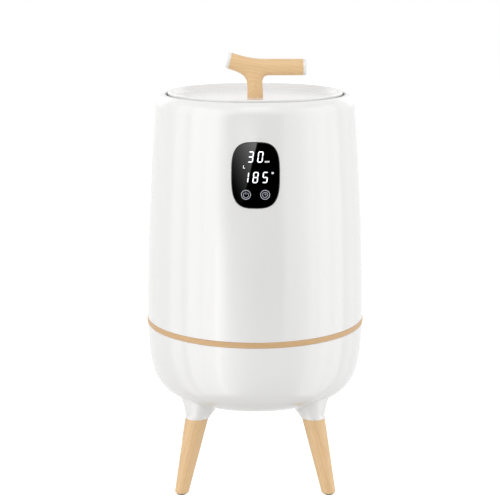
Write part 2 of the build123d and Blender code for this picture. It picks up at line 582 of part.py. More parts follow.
# ---------------------------------------------------------------- control panel
def display_lens():
    """The glossy cover of the panel, curved with the barrel, with two key holes."""
    body = barrel_band(LENS_PROUD, LENS_PROUD - LENS_THICK) & panel_block(0)
    around_panel = body.edges().sort_by(Axis.Y).filter_by(lambda edge: edge.length > 4 * PANEL_HALF_H)
    body = fillet(around_panel[0], LENS_EDGE_ROUND)
    for x in (-KEY_X, KEY_X):
        body -= rod_along_y(KEY_RADIUS + KEY_HOLE_CLEAR, FRONT_Y, BACK_Y, x, KEY_Z)
    return body


def panel_frame():
    """The frame behind the window: clip flange, tube wall and board pillars."""
    wall = panel_block(-FRAME_CLEAR, back=BOARD_Y) - panel_block(-FRAME_CLEAR - FRAME_WALL)
    wall &= barrel_core(LENS_PROUD - LENS_THICK - GAP)
    clip_front = -WALL - 0.1
    clip = barrel_band(clip_front, clip_front - FRAME_CLIP_THICK) & panel_block(FRAME_CLIP)
    body = wall + (clip - panel_block(-1))
    for x, z in PANEL_CORNERS:
        body += rod_along_y(PANEL_PILLAR_R, BOARD_Y - PANEL_PILLAR_LENGTH, BOARD_Y, x, z)
        body -= rod_along_y(PANEL_PILOT_R, BOARD_Y - PANEL_PILLAR_LENGTH + 1, BOARD_Y + 1, x, z)
    return body


def display_board():
    """The board behind the panel frame."""
    board = Box(PANEL_BOARD_W, BOARD_THICK, PANEL_BOARD_H, align=BEHIND)
    board = Pos(0, BOARD_Y + GAP, PANEL_Z) * board
    board = fillet(board.edges().filter_by(Axis.Y), PANEL_BOARD_ROUND)
    for x, z in PANEL_CORNERS:
        board -= rod_along_y(PANEL_SCREW_R + 0.2, BOARD_Y - 1, BOARD_Y + BOARD_THICK + 1, x, z)
    return board


def board_screw(x, z):
    """One screw from behind the display board into the frame."""
    back = BOARD_Y + BOARD_THICK + 2 * GAP
    shank = rod_along_y(PANEL_SCREW_R, BOARD_Y - PANEL_SCREW_DEPTH, back, x, z)
    return shank + rod_along_y(PANEL_SCREW_HEAD_R, back, back + PANEL_SCREW_HEAD_H, x, z)


def digit_module(z):
    """One numeral display on the board, with its recessed face."""
    width, depth, height = DIGIT_SIZE
    face_w, face_h = DIGIT_FACE
    body = Pos(DIGIT_X, BOARD_Y, z) * Box(width, depth, height, align=BEFORE)
    return body - Pos(DIGIT_X, BOARD_Y - depth, z) * Box(face_w, 2 * DIGIT_RECESS, face_h)


def key_switch(x):
    """One tact switch on the board, with its plunger."""
    front = BOARD_Y - SWITCH_SIZE[1]
    body = Pos(x, BOARD_Y, KEY_Z) * Box(*SWITCH_SIZE, align=BEFORE)
    return body + rod_along_y(PLUNGER_R, front - PLUNGER_LENGTH, front, x, KEY_Z)


def push_key(x):
    """One key: curved cap, retaining flange behind the lens, and stem to its switch."""
    cap = rod_along_y(KEY_RADIUS, FRONT_Y, BACK_Y, x, KEY_Z) & barrel_band(KEY_PROUD, KEY_BACK)
    cap = fillet(cap.edges().sort_by(Axis.Y)[0], KEY_EDGE_ROUND)
    flange = rod_along_y(KEY_RADIUS + KEY_FLANGE_REACH, FRONT_Y, BACK_Y, x, KEY_Z)
    flange &= barrel_band(LENS_PROUD - LENS_THICK - CLEAR, KEY_BACK)
    stem_end = BOARD_Y - SWITCH_SIZE[1] - PLUNGER_LENGTH - KEY_TRAVEL - CLEAR
    return cap + flange + rod_along_y(KEY_STEM_R, KEY_STEM_FRONT, stem_end, x, KEY_Z)


def display_cable():
    """The flat cable from the display board down to the supply board."""
    route = FilletPolyline(
        (CABLE_Y, CABLE_TOP_Z), (CABLE_Y, CABLE_TURN_Z), (2 * CABLE_PLUG_Y, CABLE_Z),
        (CABLE_PLUG_Y - PLUG_SIZE[1] / 2, CABLE_Z), radius=CABLE_BEND,
    )
    ribbon = extrude(Plane.YZ * trace(route, CABLE_THICK), CABLE_HALF_WIDTH, both=True)
    plug = block((0, CABLE_PLUG_Y), BOARD_Z + BOARD_SIZE[2] + 4 * GAP, PLUG_SIZE)
    return Pos(CABLE_X, 0, 0) * (ribbon + plug)


# ---------------------------------------------------------------- lid
def lid_cover():
    """The lid's top: side wall, raised rim, shallow dish and screw bosses."""
    rim_in, dish_r, hollow_z = LID_R - RIM_WIDTH, LID_R - DISH_INSET, LID_TOP_Z - RIM_UNDER
    wall_in = LID_R - LID_WALL
    body = turned(
        (LID_R, LID_BOTTOM_Z), (LID_R, LID_TOP_Z), (rim_in, LID_TOP_Z), (dish_r, DISH_Z),
        (0, DISH_Z), (0, COVER_UNDER_Z), (dish_r - 0.1, COVER_UNDER_Z),
        (LID_R - RIM_HOLLOW, hollow_z), (wall_in, hollow_z), (wall_in, LID_BOTTOM_Z),
        radius=[0, 1.5, 1.2, 5.0, 0, 0, 2.0, 0, 0, 0],
    )
    for turn in around(LID_SCREW_COUNT, LID_SCREW_ANGLE):
        body += turn * rod(BOSS_R, BASE_TOP_Z + GAP, COVER_UNDER_Z + 1, LID_SCREW_R)
        body -= turn * rod(BOSS_BORE_R, BASE_TOP_Z, COVER_UNDER_Z - 0.5, LID_SCREW_R)
    return body - rod(DISH_BORE_R, COVER_UNDER_Z - 1, DISH_Z + 1)


def lid_base():
    """The lid's underside: plate, locating rib, and the aroma cup's bayonet ring."""
    rib_out, rib_in = (BASE_R - inset for inset in BASE_RIB)
    head_r, head_h = LID_SCREW_HEAD
    body = tube(BASE_R, 0, LID_BOTTOM_Z, BASE_TOP_Z)
    body += tube(rib_out, rib_in, BASE_TOP_Z, COVER_UNDER_Z - 1.5)
    body += tube(SOCKET_RING_R + SOCKET_RING_WALL, SOCKET_RING_R, SOCKET_RING_BOTTOM_Z, LID_BOTTOM_Z)
    for turn in around(BAYONET_COUNT, BAYONET_FIRST):
        body += turn * bayonet_segment(NECK_R + CLEAR, SOCKET_RING_R + 1, SOCKET_RING_BOTTOM_Z)
    for turn in around(LID_SCREW_COUNT, LID_SCREW_ANGLE):
        body -= turn * rod(LID_SCREW_SHANK_R + CLEAR, LID_BOTTOM_Z - 1, BASE_TOP_Z + 1, LID_SCREW_R)
        body -= turn * rod(head_r + 0.2, LID_BOTTOM_Z - 1, LID_BOTTOM_Z + head_h + 0.15, LID_SCREW_R)
    return body


def bayonet_segment(inner, outer, bottom):
    """A short arc of a ring, centred on +X."""
    reach, half = 2 * outer, radians(BAYONET_ANGLE / 2)
    x, y = reach * cos(half), reach * sin(half)
    wedge = extrude(make_face(Polyline((0, 0), (x, -y), (x, y), close=True)), BAYONET_THICK)
    return tube(outer, inner, bottom, bottom + BAYONET_THICK) & (Pos(0, 0, bottom) * wedge)


def lid_foam():
    """The insulating disc inside the lid."""
    body = tube(FOAM_R, FOAM_HOLE_R, BASE_TOP_Z + 0.2, COVER_UNDER_Z - 0.2)
    for turn in around(LID_SCREW_COUNT, LID_SCREW_ANGLE):
        body -= turn * rod(FOAM_BOSS_R, BASE_TOP_Z, COVER_UNDER_Z, LID_SCREW_R)
    return body


def lid_screw():
    """One countersunk screw through the base into a cover boss."""
    head_r, head_h = LID_SCREW_HEAD
    low = LID_BOTTOM_Z + 2 * GAP
    head = rod(head_r, low, low + head_h, LID_SCREW_R)
    return head + rod(LID_SCREW_SHANK_R, LID_BOTTOM_Z + head_h, BASE_TOP_Z + LID_SCREW_REACH, LID_SCREW_R)


def grip_outline():
    """The grip seen from the front, as a closed chain of (x, height above the lid's rim)."""
    base = DISH_Z + GAP - LID_TOP_Z
    end_high, end_low = (GRIP_REACH, GRIP_TOP), (GRIP_REACH, GRIP_LOW)
    stem_right, stem_left = (STEM_HALF, base), (-STEM_HALF, base)
    arm_high, arm_low, waist, fork = (13.0, GRIP_TOP), (17.6, GRIP_LOW), (9.9, 11.5), (-12.6, 15.4)
    return [
        Bezier(SHORT_ARM_TOP, (-20.5, 47.9), (-6.0, GRIP_TOP), arm_high),
        Line(arm_high, end_high),
        Line(end_high, end_low),
        Line(end_low, arm_low),
        Bezier(arm_low, (12.6, 21.0), (9.9, 17.6), waist),
        Bezier(waist, (9.9, 6.0), (10.6, 0.0), stem_right),
        Line(stem_right, stem_left),
        Bezier(stem_left, (-10.4, 4.0), (-10.6, 9.6), fork),
        Bezier(fork, (-15.6, 23.6), (-26.0, 26.6), SHORT_ARM_LOW),
        Line(SHORT_ARM_LOW, SHORT_ARM_TOP),
    ]


def handle_grip():
    """The branch-like grip: a stem, a level arm to the right and a rising arm to the left."""
    outline = grip_outline()
    ends = [edge.center() for edge in (outline[2], outline[6], outline[9])]
    body = extrude(Plane.XZ * make_face(outline), GRIP_DEPTH / 2, both=True)
    long_edges = [
        edge for edge in body.edges()
        if abs(abs(edge.center().Y) - GRIP_DEPTH / 2) < 0.01
        and all(hypot(edge.center().X - end.X, edge.center().Z - end.Y) > 0.1 for end in ends)
    ]
    body = Pos(0, 0, LID_TOP_Z) * fillet(long_edges, GRIP_ROUND)
    return body - rod(GRIP_BORE_R, DISH_Z - 1, DISH_Z + GRIP_BORE_DEPTH)


def end_cap(centre_x, centre_z, lean):
    """One cap closing an arm's end, with a rounded outer edge."""
    cap = Cylinder(GRIP_DEPTH / 2 + CAP_GROW, CAP_LENGTH, align=UPRIGHT)
    cap = fillet(cap.edges().sort_by(Axis.Z)[-1], CAP_ROUND)
    return Pos(centre_x, 0, LID_TOP_Z + centre_z) * Rot(0, lean, 0) * Pos(0, 0, GAP) * cap


def handle_screw():
    """The screw that pulls the grip down onto the dish."""
    seat = COVER_UNDER_Z - WASHER_THICK - GAP
    head_r, head_h = GRIP_SCREW_HEAD
    return rod(head_r, seat - head_h, seat) + rod(GRIP_SCREW_R, seat, DISH_Z + GRIP_SCREW_REACH)


def handle_washer():
    """The wide washer under the cover, round the grip's screw."""
    return tube(WASHER_R, WASHER_HOLE_R, COVER_UNDER_Z - WASHER_THICK, COVER_UNDER_Z - GAP)


# ---------------------------------------------------------------- aroma cup
def cup_bowl():
    """The cup's rounded bowl with its step and neck."""
    inner, floor = CUP_R - CUP_WALL, CUP_BOTTOM_Z + CUP_WALL
    step_z, flange_top = EAR_Z + 1, EAR_Z + EAR_THICK
    step_r, neck_in = NECK_R + NECK_STEP, NECK_R - NECK_WALL
    return turned(
        (0, CUP_BOTTOM_Z), (CUP_R, CUP_BOTTOM_Z), (CUP_R, step_z), (step_r, step_z),
        (step_r, flange_top), (NECK_R, flange_top), (NECK_R, NECK_TOP_Z),
        (neck_in, NECK_TOP_Z), (neck_in, flange_top), (inner, step_z + 0.5), (inner, floor), (0, floor),
        radius=[0, CUP_ROUND, 0, 0, 0, 0, 0, 0, 0, 0, CUP_INNER_ROUND, 0],
    )


def cup_ear():
    """One finger tab beside the cup."""
    ear = Box(EAR_R - EAR_START, EAR_WIDTH, EAR_THICK, align=(Align.MIN, Align.CENTER, Align.MIN))
    ear = Pos(EAR_START, 0, EAR_Z) * ear
    return fillet(ear.edges().filter_by(Axis.Z).sort_by(Axis.X)[-2:], EAR_ROUND)


def aroma_cup():
    """The twist-in cup: rounded bowl with vent slots, ears, neck and bayonet tabs."""
    body, tab_z = cup_bowl(), SOCKET_RING_BOTTOM_Z + BAYONET_LIFT
    for turn in around(2):
        body += turn * cup_ear()
    for turn in around(BAYONET_COUNT, BAYONET_FIRST):
        body += turn * bayonet_segment(NECK_R - 1, SOCKET_RING_R - CLEAR, tab_z)
    for turn in around(VENT_COUNT):
        vent = extrude(SlotOverall(VENT_LENGTH, VENT_WIDTH), 4, both=True)
        body -= turn * Pos(VENT_R, 0, CUP_BOTTOM_Z) * vent
    return body


def aroma_pad():
    """The felt disc in the cup that holds a few drops of oil."""
    floor = CUP_BOTTOM_Z + CUP_WALL
    return rod(PAD_DISC_R, floor + GAP, floor + PAD_DISC_THICK)


# ---------------------------------------------------------------- all nodes
def build_base():
    """Bowl, legs, cradle and what is hidden between them."""
    save(base_bowl(), "base_bowl")
    leg_parts()
    save(cord_gland(), "cord_gland")
    save(drum_cradle(), "drum_cradle")
    save(group(turn * shell_screw() for turn in around(TOWER_COUNT)), "shell_screws")
    power_board_parts()


def build_barrel():
    """Wood band, shell, collar, drum, and the drum's heater and insulation."""
    save(accent_ring(), "accent_ring")
    save(outer_shell(), "outer_shell")
    save(top_collar(), "top_collar")
    save(rim_gasket(), "rim_gasket")
    save(heat_drum(), "heat_drum")
    save(drum_wrap(FILM_SPAN, FILM_LAYER), "heater_film")
    save(drum_wrap(WOOL_SPAN, WOOL_LAYER), "insulation_wrap")
    mat_r, mat_low = RIB_R - RIB_WALL - 0.2, PLATE_Z + PLATE_THICK + GAP
    save(tube(mat_r, PLATE_HOLE_R, mat_low, DRUM_FLOOR_Z - 0.3), "bottom_insulation")
    save(thermostat(), "thermostat")
    save(thermal_fuse(), "thermal_fuse")
    save(stepped_can(SENSOR_PLACE, SENSOR_FLANGE, SENSOR_STEM), "temp_sensor")


def build_panel():
    """The control panel and its two keys."""
    save(display_lens(), "display_lens")
    save(panel_frame(), "panel_frame")
    save(display_board(), "display_board")
    save(group(board_screw(x, z) for x, z in PANEL_CORNERS), "display_board_screws")
    for name, z in zip(("upper", "lower"), DIGIT_Z):
        save(digit_module(z), f"digit_module_{name}")
    save(group(key_switch(x) for x in (-KEY_X, KEY_X)), "key_switches")
    save(display_cable(), "display_cable")
    save(push_key(-KEY_X), "power_key")
    save(push_key(KEY_X), "timer_key")


def build_lid():
    """The lid, its handle and the aroma cup."""
    save(lid_cover(), "lid_cover")
    save(lid_base(), "lid_base")
    save(lid_foam(), "lid_foam")
    screws = (turn * lid_screw() for turn in around(LID_SCREW_COUNT, LID_SCREW_ANGLE))
    save(group(screws), "lid_screws")
    save(handle_grip(), "handle_grip")
    save(group(end_cap(*place) for place in CAP_PLACES), "handle_end_caps")
    save(handle_screw(), "handle_screw")
    save(handle_washer(), "handle_washer")
    save(aroma_cup(), "aroma_cup")
    save(aroma_pad(), "aroma_pad")


os.makedirs("parts", exist_ok=True)
build_base()
build_barrel()
build_panel()
build_lid()
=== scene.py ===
"""Looks of a towel warmer bucket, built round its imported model.

Metres, +Z up, front towards -Y. The origin is on the floor under the barrel's axis.
Each sub-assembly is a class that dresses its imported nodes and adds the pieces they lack.
"""
import logging
import math
from dataclasses import asdict, dataclass, field
from enum import Enum
from typing import ClassVar

import bmesh
import bpy
from mathutils import Matrix, Vector
from mathutils.bvhtree import BVHTree


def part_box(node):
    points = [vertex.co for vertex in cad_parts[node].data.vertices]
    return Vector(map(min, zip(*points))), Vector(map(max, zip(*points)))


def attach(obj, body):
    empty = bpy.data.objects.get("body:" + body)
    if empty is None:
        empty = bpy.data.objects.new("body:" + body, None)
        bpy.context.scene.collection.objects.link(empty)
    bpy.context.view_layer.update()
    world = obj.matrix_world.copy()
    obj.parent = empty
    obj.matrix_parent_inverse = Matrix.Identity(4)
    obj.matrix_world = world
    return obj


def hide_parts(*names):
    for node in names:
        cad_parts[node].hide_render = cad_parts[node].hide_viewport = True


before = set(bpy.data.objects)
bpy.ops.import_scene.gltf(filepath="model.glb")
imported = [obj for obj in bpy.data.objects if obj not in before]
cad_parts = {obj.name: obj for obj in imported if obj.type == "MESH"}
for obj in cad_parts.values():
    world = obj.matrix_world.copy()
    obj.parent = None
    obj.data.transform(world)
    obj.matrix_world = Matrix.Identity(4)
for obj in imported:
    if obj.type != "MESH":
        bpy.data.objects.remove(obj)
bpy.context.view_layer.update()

LOG = logging.getLogger("towel_warmer")
MERGE_REACH, SHARP_TURN = 1e-7, math.radians(35)
WHITE = (1.0, 1.0, 1.0, 1.0)
Colour = tuple[float, float, float]
Point = tuple[float, float, float]
Place = tuple[float, float]
Line = tuple[Place, Place]
Socket = bpy.types.NodeSocket
Sockets = bpy.types.NodeOutputs
Feeds = dict[str, Socket]
Piece = bpy.types.Object


class Slot(Enum):
    """The record's material slots, named for each new piece but not used to give it a finish."""

    LIGHT_WOOD = "light_wood"
    STEEL = "steel"
    DIGIT_GREY = "digit_grey"


class Body(Enum):
    """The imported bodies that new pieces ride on."""

    CASE = "case"
    LID = "lid"
    POWER_KEY = "power_key_body"
    TIMER_KEY = "timer_key_body"


# ---------------- node wiring
class Wiring:
    """Short calls that add and link the nodes of one tree."""

    def __init__(self, tree: bpy.types.NodeTree) -> None:
        """Takes the tree to work on."""
        self.tree = tree

    def feed(self, socket: Socket, value: object) -> None:
        """Links an output socket to an input, or sets the input's constant.

        Args:
            socket: The input.
            value: An output socket, a number, a vector or a colour.
        """
        if isinstance(value, Socket):
            self.tree.links.new(value, socket)
        elif socket.type == "RGBA":
            socket.default_value = (*value, 1.0)
        else:
            socket.default_value = value

    def add(self, kind: str, feeds: dict | None = None, **settings: object) -> bpy.types.Node:
        """Adds one node.

        Args:
            kind: The node's type.
            feeds: Input name or number to the value that it gets.
            settings: The node's own properties, set before its inputs.

        Returns:
            The new node.
        """
        node = self.tree.nodes.new(kind)
        for name, value in settings.items():
            setattr(node, name, value)
        for name, value in (feeds or {}).items():
            self.feed(node.inputs[name], value)
        return node

    def out(
        self, kind: str, feeds: dict | None = None, output: str | int = 0, **settings: object,
    ) -> Socket:
        """Adds one node as add does, and returns one of its outputs."""
        return self.add(kind, feeds, **settings).outputs[output]

    def maths(self, operation: str, first: object, second: object = 0.0) -> Socket:
        """Returns the result of one Math node."""
        return self.out("ShaderNodeMath", {0: first, 1: second}, operation=operation)

    def plus(self, first: object, second: object) -> Socket:
        """Returns a sum."""
        return self.maths("ADD", first, second)

    def minus(self, first: object, second: object) -> Socket:
        """Returns a difference."""
        return self.maths("SUBTRACT", first, second)

    def times(self, first: object, second: object) -> Socket:
        """Returns a product."""
        return self.maths("MULTIPLY", first, second)

    def vector(self, operation: str, first: object, second: object) -> Socket:
        """Returns the result of one Vector Math node of two vectors."""
        return self.out("ShaderNodeVectorMath", {0: first, 1: second}, operation=operation)

    def mix(self, factor: object, first: object, second: object) -> Socket:
        """Returns a colour between two colours."""
        return self.out("ShaderNodeMix", {0: factor, 6: first, 7: second}, 2, data_type="RGBA")

    def dimmed(self, colour: object, value: object) -> Socket:
        """Returns a colour whose brightness is scaled."""
        return self.out("ShaderNodeHueSaturation", {"Value": value, "Color": colour})

    def noise(self, vector: object, scale: object, detail: float = 2.0) -> Socket:
        """Returns a noise value from 0 to 1."""
        feeds = {"Vector": vector, "Scale": scale, "Detail": detail}
        return self.out("ShaderNodeTexNoise", feeds, "Fac")

    def span(self, value: object, low: float = 0.3, high: float = 0.7) -> Socket:
        """Returns value rescaled so that low gives 0 and high gives 1, clamped."""
        feeds = {"Value": value, "From Min": low, "From Max": high}
        return self.out("ShaderNodeMapRange", feeds, "Result")

    def parts(self, vector: object) -> Sockets:
        """Returns a vector's X, Y and Z."""
        return self.add("ShaderNodeSeparateXYZ", {0: vector}).outputs

    def joined(self, **parts: object) -> Socket:
        """Returns the vector of the given X, Y and Z, with 0 for any not given."""
        return self.out("ShaderNodeCombineXYZ", parts)

    def rotation(self, turn: object) -> Socket:
        """Returns a rotation by an angle about Z."""
        return self.out("FunctionNodeEulerToRotation", {"Euler": self.joined(Z=turn)})

    def raised(self, shape: Socket, height: object, **feeds: object) -> Socket:
        """Returns a geometry moved up, and turned where feeds gives a Rotation."""
        feeds |= {"Geometry": shape, "Translation": self.joined(Z=height)}
        return self.out("GeometryNodeTransform", feeds)

    def rod(self, sides: int, radius: object, depth: object) -> Socket:
        """Returns a closed cylinder centred on the origin."""
        feeds = {"Vertices": sides, "Radius": radius, "Depth": depth}
        return self.out("GeometryNodeMeshCylinder", feeds, "Mesh")


class Group:
    """A node tree with named inputs, made the first time it is asked for."""

    name = kind = ""
    always: dict[str, str] = {}
    colours: tuple[str, ...] = ()
    values: tuple[str, ...] = ()
    counts: tuple[str, ...] = ()
    outputs: dict[str, str] = {}

    @classmethod
    def wire(cls, wiring: Wiring, source: Sockets) -> Feeds:
        """Wires the tree; each has its own.

        Args:
            wiring: The tree's wiring.
            source: The tree's inputs.

        Returns:
            Output name to the socket that feeds it.
        """
        raise NotImplementedError

    @classmethod
    def tree(cls) -> bpy.types.NodeTree:
        """Returns the tree, with sockets of the sorts that the class names."""
        found = bpy.data.node_groups.get(cls.name)
        if found is not None:
            return found
        tree = bpy.data.node_groups.new(cls.name, cls.kind)
        inputs = cls.always | dict.fromkeys(cls.colours, "Color")
        inputs |= dict.fromkeys(cls.values, "Float") | dict.fromkeys(cls.counts, "Int")
        for direction, sockets in (("INPUT", inputs), ("OUTPUT", cls.outputs)):
            for socket, sort in sockets.items():
                tree.interface.new_socket(socket, in_out=direction, socket_type="NodeSocket" + sort)
        wiring = Wiring(tree)
        wiring.add("NodeGroupOutput", cls.wire(wiring, wiring.add("NodeGroupInput").outputs))
        return tree


# ---------------- shared effects
class Effect(Group):
    """A shader node group that several finishes share. Its noises are (scale, detail)."""

    kind = "ShaderNodeTree"
    always = {"Vector": "Vector"}
    outputs = {"Colour": "Color", "Roughness": "Float", "Height": "Float"}

    @classmethod
    def place(cls, wiring: Wiring, feeds: dict) -> Sockets:
        """Places the group in a material's tree and returns its outputs."""
        return wiring.add("ShaderNodeGroup", feeds, node_tree=cls.tree()).outputs


class AroundAxis(Effect):
    """Turns a place into distance round the barrel's axis, radius and height."""

    name = "around_axis"
    outputs = {"Vector": "Vector"}
    REACH = 0.15

    @classmethod
    def wire(cls, wiring: Wiring, source: Sockets) -> Feeds:
        """Wires an angle that is 0 at the front and jumps at the back."""
        parts = wiring.parts(source["Vector"])
        angle = wiring.maths("ARCTAN2", parts["X"], wiring.times(parts["Y"], -1.0))
        squares = [wiring.times(parts[axis], parts[axis]) for axis in "XY"]
        radius = wiring.maths("SQRT", wiring.plus(*squares))
        return {"Vector": wiring.joined(X=wiring.times(angle, cls.REACH), Y=radius, Z=parts["Z"])}


class MouldedSkin(Effect):
    """Plastic as it leaves a mould: slow tone drift, uneven gloss and a fine pebble."""

    name = "moulded_skin"
    colours, values = ("Colour",), ("Tone", "Roughness", "Spread", "Pebble Scale")
    CLOUD, SCUFF = (8.0, 3.0), (46.0, 5.0)
    MIDDLE = 0.5

    @classmethod
    def wire(cls, wiring: Wiring, source: Sockets) -> Feeds:
        """Wires the drift, the gloss and the pebble."""
        cloud = wiring.span(wiring.noise(source["Vector"], *cls.CLOUD))
        deeper = wiring.dimmed(source["Colour"], wiring.minus(1.0, source["Tone"]))
        scuff = wiring.minus(wiring.noise(source["Vector"], *cls.SCUFF), cls.MIDDLE)
        return {
            "Colour": wiring.mix(cloud, deeper, source["Colour"]),
            "Roughness": wiring.plus(source["Roughness"], wiring.times(scuff, source["Spread"])),
            "Height": wiring.noise(source["Vector"], source["Pebble Scale"]),
        }


class TimberFigure(Effect):
    """Growth rings, fibres and pores that run along the vector's X."""

    name = "timber_figure"
    colours, values = ("Pale", "Deep"), ("Spacing", "Figure", "Roughness")
    STRETCH = (0.07, 1.0, 1.0)
    SWAY, SWAY_SCALE = (1.7, 1.7, 1.7), 0.3
    RINGS = {"Scale": 0.314, "Distortion": 0.8, "Detail": 2.0}
    FIBRE, PORE, PORE_RANGE = (4.0, 4.0), (15.0, 1.0), (0.6, 0.75)
    PORE_SHADE, GLOSS_SPREAD, HALF = 0.16, 0.12, 0.5

    @classmethod
    def wire(cls, wiring: Wiring, source: Sockets) -> Feeds:
        """Wires the rings, the fibres and the pores."""
        long = wiring.vector("MULTIPLY", source["Vector"], cls.STRETCH)
        inverse = wiring.maths("DIVIDE", 1.0, source["Spacing"])
        lines = wiring.out("ShaderNodeVectorMath", {0: long, 3: inverse}, operation="SCALE")
        sway = wiring.out("ShaderNodeTexNoise", {"Vector": lines, "Scale": cls.SWAY_SCALE}, "Color")
        swayed = wiring.vector("ADD", lines, wiring.vector("MULTIPLY", sway, cls.SWAY))
        rings = wiring.out(
            "ShaderNodeTexWave", {"Vector": swayed} | cls.RINGS, "Fac",
            wave_type="RINGS", rings_direction="X", wave_profile="SAW",
        )
        fibre = wiring.span(wiring.noise(lines, *cls.FIBRE))
        pores = wiring.span(wiring.noise(lines, *cls.PORE), *cls.PORE_RANGE)
        figure = wiring.times(wiring.plus(rings, fibre), cls.HALF)
        shade = wiring.times(figure, source["Figure"])
        shade = wiring.plus(shade, wiring.times(pores, cls.PORE_SHADE))
        gloss = wiring.times(fibre, cls.GLOSS_SPREAD)
        return {
            "Colour": wiring.mix(shade, source["Pale"], source["Deep"]),
            "Roughness": wiring.plus(source["Roughness"], gloss),
            "Height": wiring.minus(fibre, pores),
        }


class SpunLines(Effect):
    """Fine parallel lines that brushing or turning leaves along the vector's X."""

    name = "spun_lines"
    colours, values = ("Colour",), ("Roughness", "Spacing")
    STRETCH, DETAIL = (0.012, 1.0, 1.0), 3.0
    DEEPER, GLOSS_SPREAD = 0.78, 0.16

    @classmethod
    def wire(cls, wiring: Wiring, source: Sockets) -> Feeds:
        """Wires the lines into the colour, the gloss and the height."""
        long = wiring.vector("MULTIPLY", source["Vector"], cls.STRETCH)
        lines = wiring.noise(long, wiring.maths("DIVIDE", 1.0, source["Spacing"]), cls.DETAIL)
        shade = wiring.span(lines)
        deeper = wiring.dimmed(source["Colour"], cls.DEEPER)
        gloss = wiring.times(shade, cls.GLOSS_SPREAD)
        return {
            "Colour": wiring.mix(shade, deeper, source["Colour"]),
            "Roughness": wiring.plus(source["Roughness"], gloss),
            "Height": lines,
        }


class SoftNap(Effect):
    """The open surface of felt, foam or glass wool."""

    name = "soft_nap"
    colours, values = ("Colour",), ("Cell Scale",)
    CELL_RANGE, FIBRE_DETAIL = (0.0, 0.8), 5.0
    DEEPER, ROUGHNESS, GLOSS_SPREAD = 0.72, 0.85, 0.1

    @classmethod
    def wire(cls, wiring: Wiring, source: Sockets) -> Feeds:
        """Wires cells and fibres into the colour and the height."""
        feeds = {"Vector": source["Vector"], "Scale": source["Cell Scale"]}
        cells = wiring.out("ShaderNodeTexVoronoi", feeds, "Distance")
        cells = wiring.span(cells, *cls.CELL_RANGE)
        fibres = wiring.noise(source["Vector"], source["Cell Scale"], cls.FIBRE_DETAIL)
        deeper = wiring.dimmed(source["Colour"], cls.DEEPER)
        gloss = wiring.times(fibres, cls.GLOSS_SPREAD)
        return {
            "Colour": wiring.mix(wiring.times(cells, fibres), source["Colour"], deeper),
            "Roughness": wiring.plus(gloss, cls.ROUGHNESS),
            "Height": wiring.minus(fibres, cells),
        }


# ---------------- finishes
@dataclass(frozen=True)
class Finish:
    """A surface finish that becomes one material.

    Each input of its effect gets the field of the same name. constants are shader inputs that
    each hold the value of the named field all over, and depth is the relief's depth.
    """

    name: str
    effect = Effect
    constants: ClassVar[dict[str, str]] = {}
    around = False

    def surface(self, wiring: Wiring) -> Socket:
        """Returns the Object coordinates, taken round the axis where the finish runs round it."""
        place = wiring.out("ShaderNodeTexCoord", output="Object")
        if self.around:
            place = AroundAxis.place(wiring, {"Vector": place})["Vector"]
        return place

    def wire(self, wiring: Wiring, shader: bpy.types.Node) -> Sockets:
        """Lays the effect on the shader.

        Args:
            wiring: The material's wiring.
            shader: The Principled BSDF.

        Returns:
            The effect's outputs.
        """
        feeds = {"Vector": self.surface(wiring)}
        for name in self.effect.colours + self.effect.values:
            feeds[name] = getattr(self, name.lower().replace(" ", "_"))
        made = self.effect.place(wiring, feeds)
        bump = wiring.out("ShaderNodeBump", {"Height": made["Height"], "Distance": self.depth})
        wiring.feed(shader.inputs["Base Color"], made["Colour"])
        wiring.feed(shader.inputs["Roughness"], made["Roughness"])
        wiring.feed(shader.inputs["Normal"], bump)
        for name, constant in self.constants.items():
            shader.inputs[name].default_value = getattr(self, constant)
        return made

    def material(self) -> bpy.types.Material:
        """Returns the finish's material, wired the first time it is asked for."""
        found = bpy.data.materials.get(self.name)
        if found is not None:
            return found
        made = bpy.data.materials.new(self.name)
        made.use_nodes = True
        self.wire(Wiring(made.node_tree), made.node_tree.nodes["Principled BSDF"])
        return made


@dataclass(frozen=True)
class Plastic(Finish):
    """A moulded plastic or rubber."""

    colour: Colour
    roughness: float = 0.4
    tone: float = 0.03
    spread: float = 0.10
    pebble_scale: float = 900.0
    depth: float = 0.00001
    specular: float = 0.5
    coat: float = 0.0
    coat_roughness: float = 0.1
    clear: float = 0.0
    effect = MouldedSkin
    constants = {
        "Specular IOR Level": "specular", "Coat Weight": "coat",
        "Coat Roughness": "coat_roughness", "Transmission Weight": "clear",
    }


@dataclass(frozen=True)
class Lit(Plastic):
    """A mark lit from behind, a little uneven as a light guide leaves it."""

    tone: float = 0.12
    strength: float = 1.0
    constants = Plastic.constants | {"Emission Strength": "strength"}

    def wire(self, wiring: Wiring, shader: bpy.types.Node) -> Sockets:
        """Lays the skin and feeds its uneven colour to the emission too."""
        made = super().wire(wiring, shader)
        wiring.feed(shader.inputs["Emission Color"], made["Colour"])
        return made


@dataclass(frozen=True)
class Timber(Finish):
    """Sealed pale timber whose grain runs along one direction or round the axis."""

    grain: Point = (1.0, 0.0, 0.0)
    pith: Point = (0.0, 0.021, 0.034)
    around: bool = False
    pale: Colour = (0.87, 0.605, 0.33)
    deep: Colour = (0.62, 0.35, 0.14)
    spacing: float = 0.0034
    figure: float = 0.46
    roughness: float = 0.38
    depth: float = 0.00003
    coat: float = 0.15
    coat_roughness: float = 0.25
    effect = TimberFigure
    constants = {"Coat Weight": "coat", "Coat Roughness": "coat_roughness"}

    def surface(self, wiring: Wiring) -> Socket:
        """Returns the place, turned so that X is along the grain."""
        turn = Vector(self.grain).rotation_difference(Vector((1, 0, 0))).to_euler()
        feeds = {"Vector": super().surface(wiring), "Rotation": turn, "Location": self.pith}
        return wiring.out("ShaderNodeMapping", feeds)


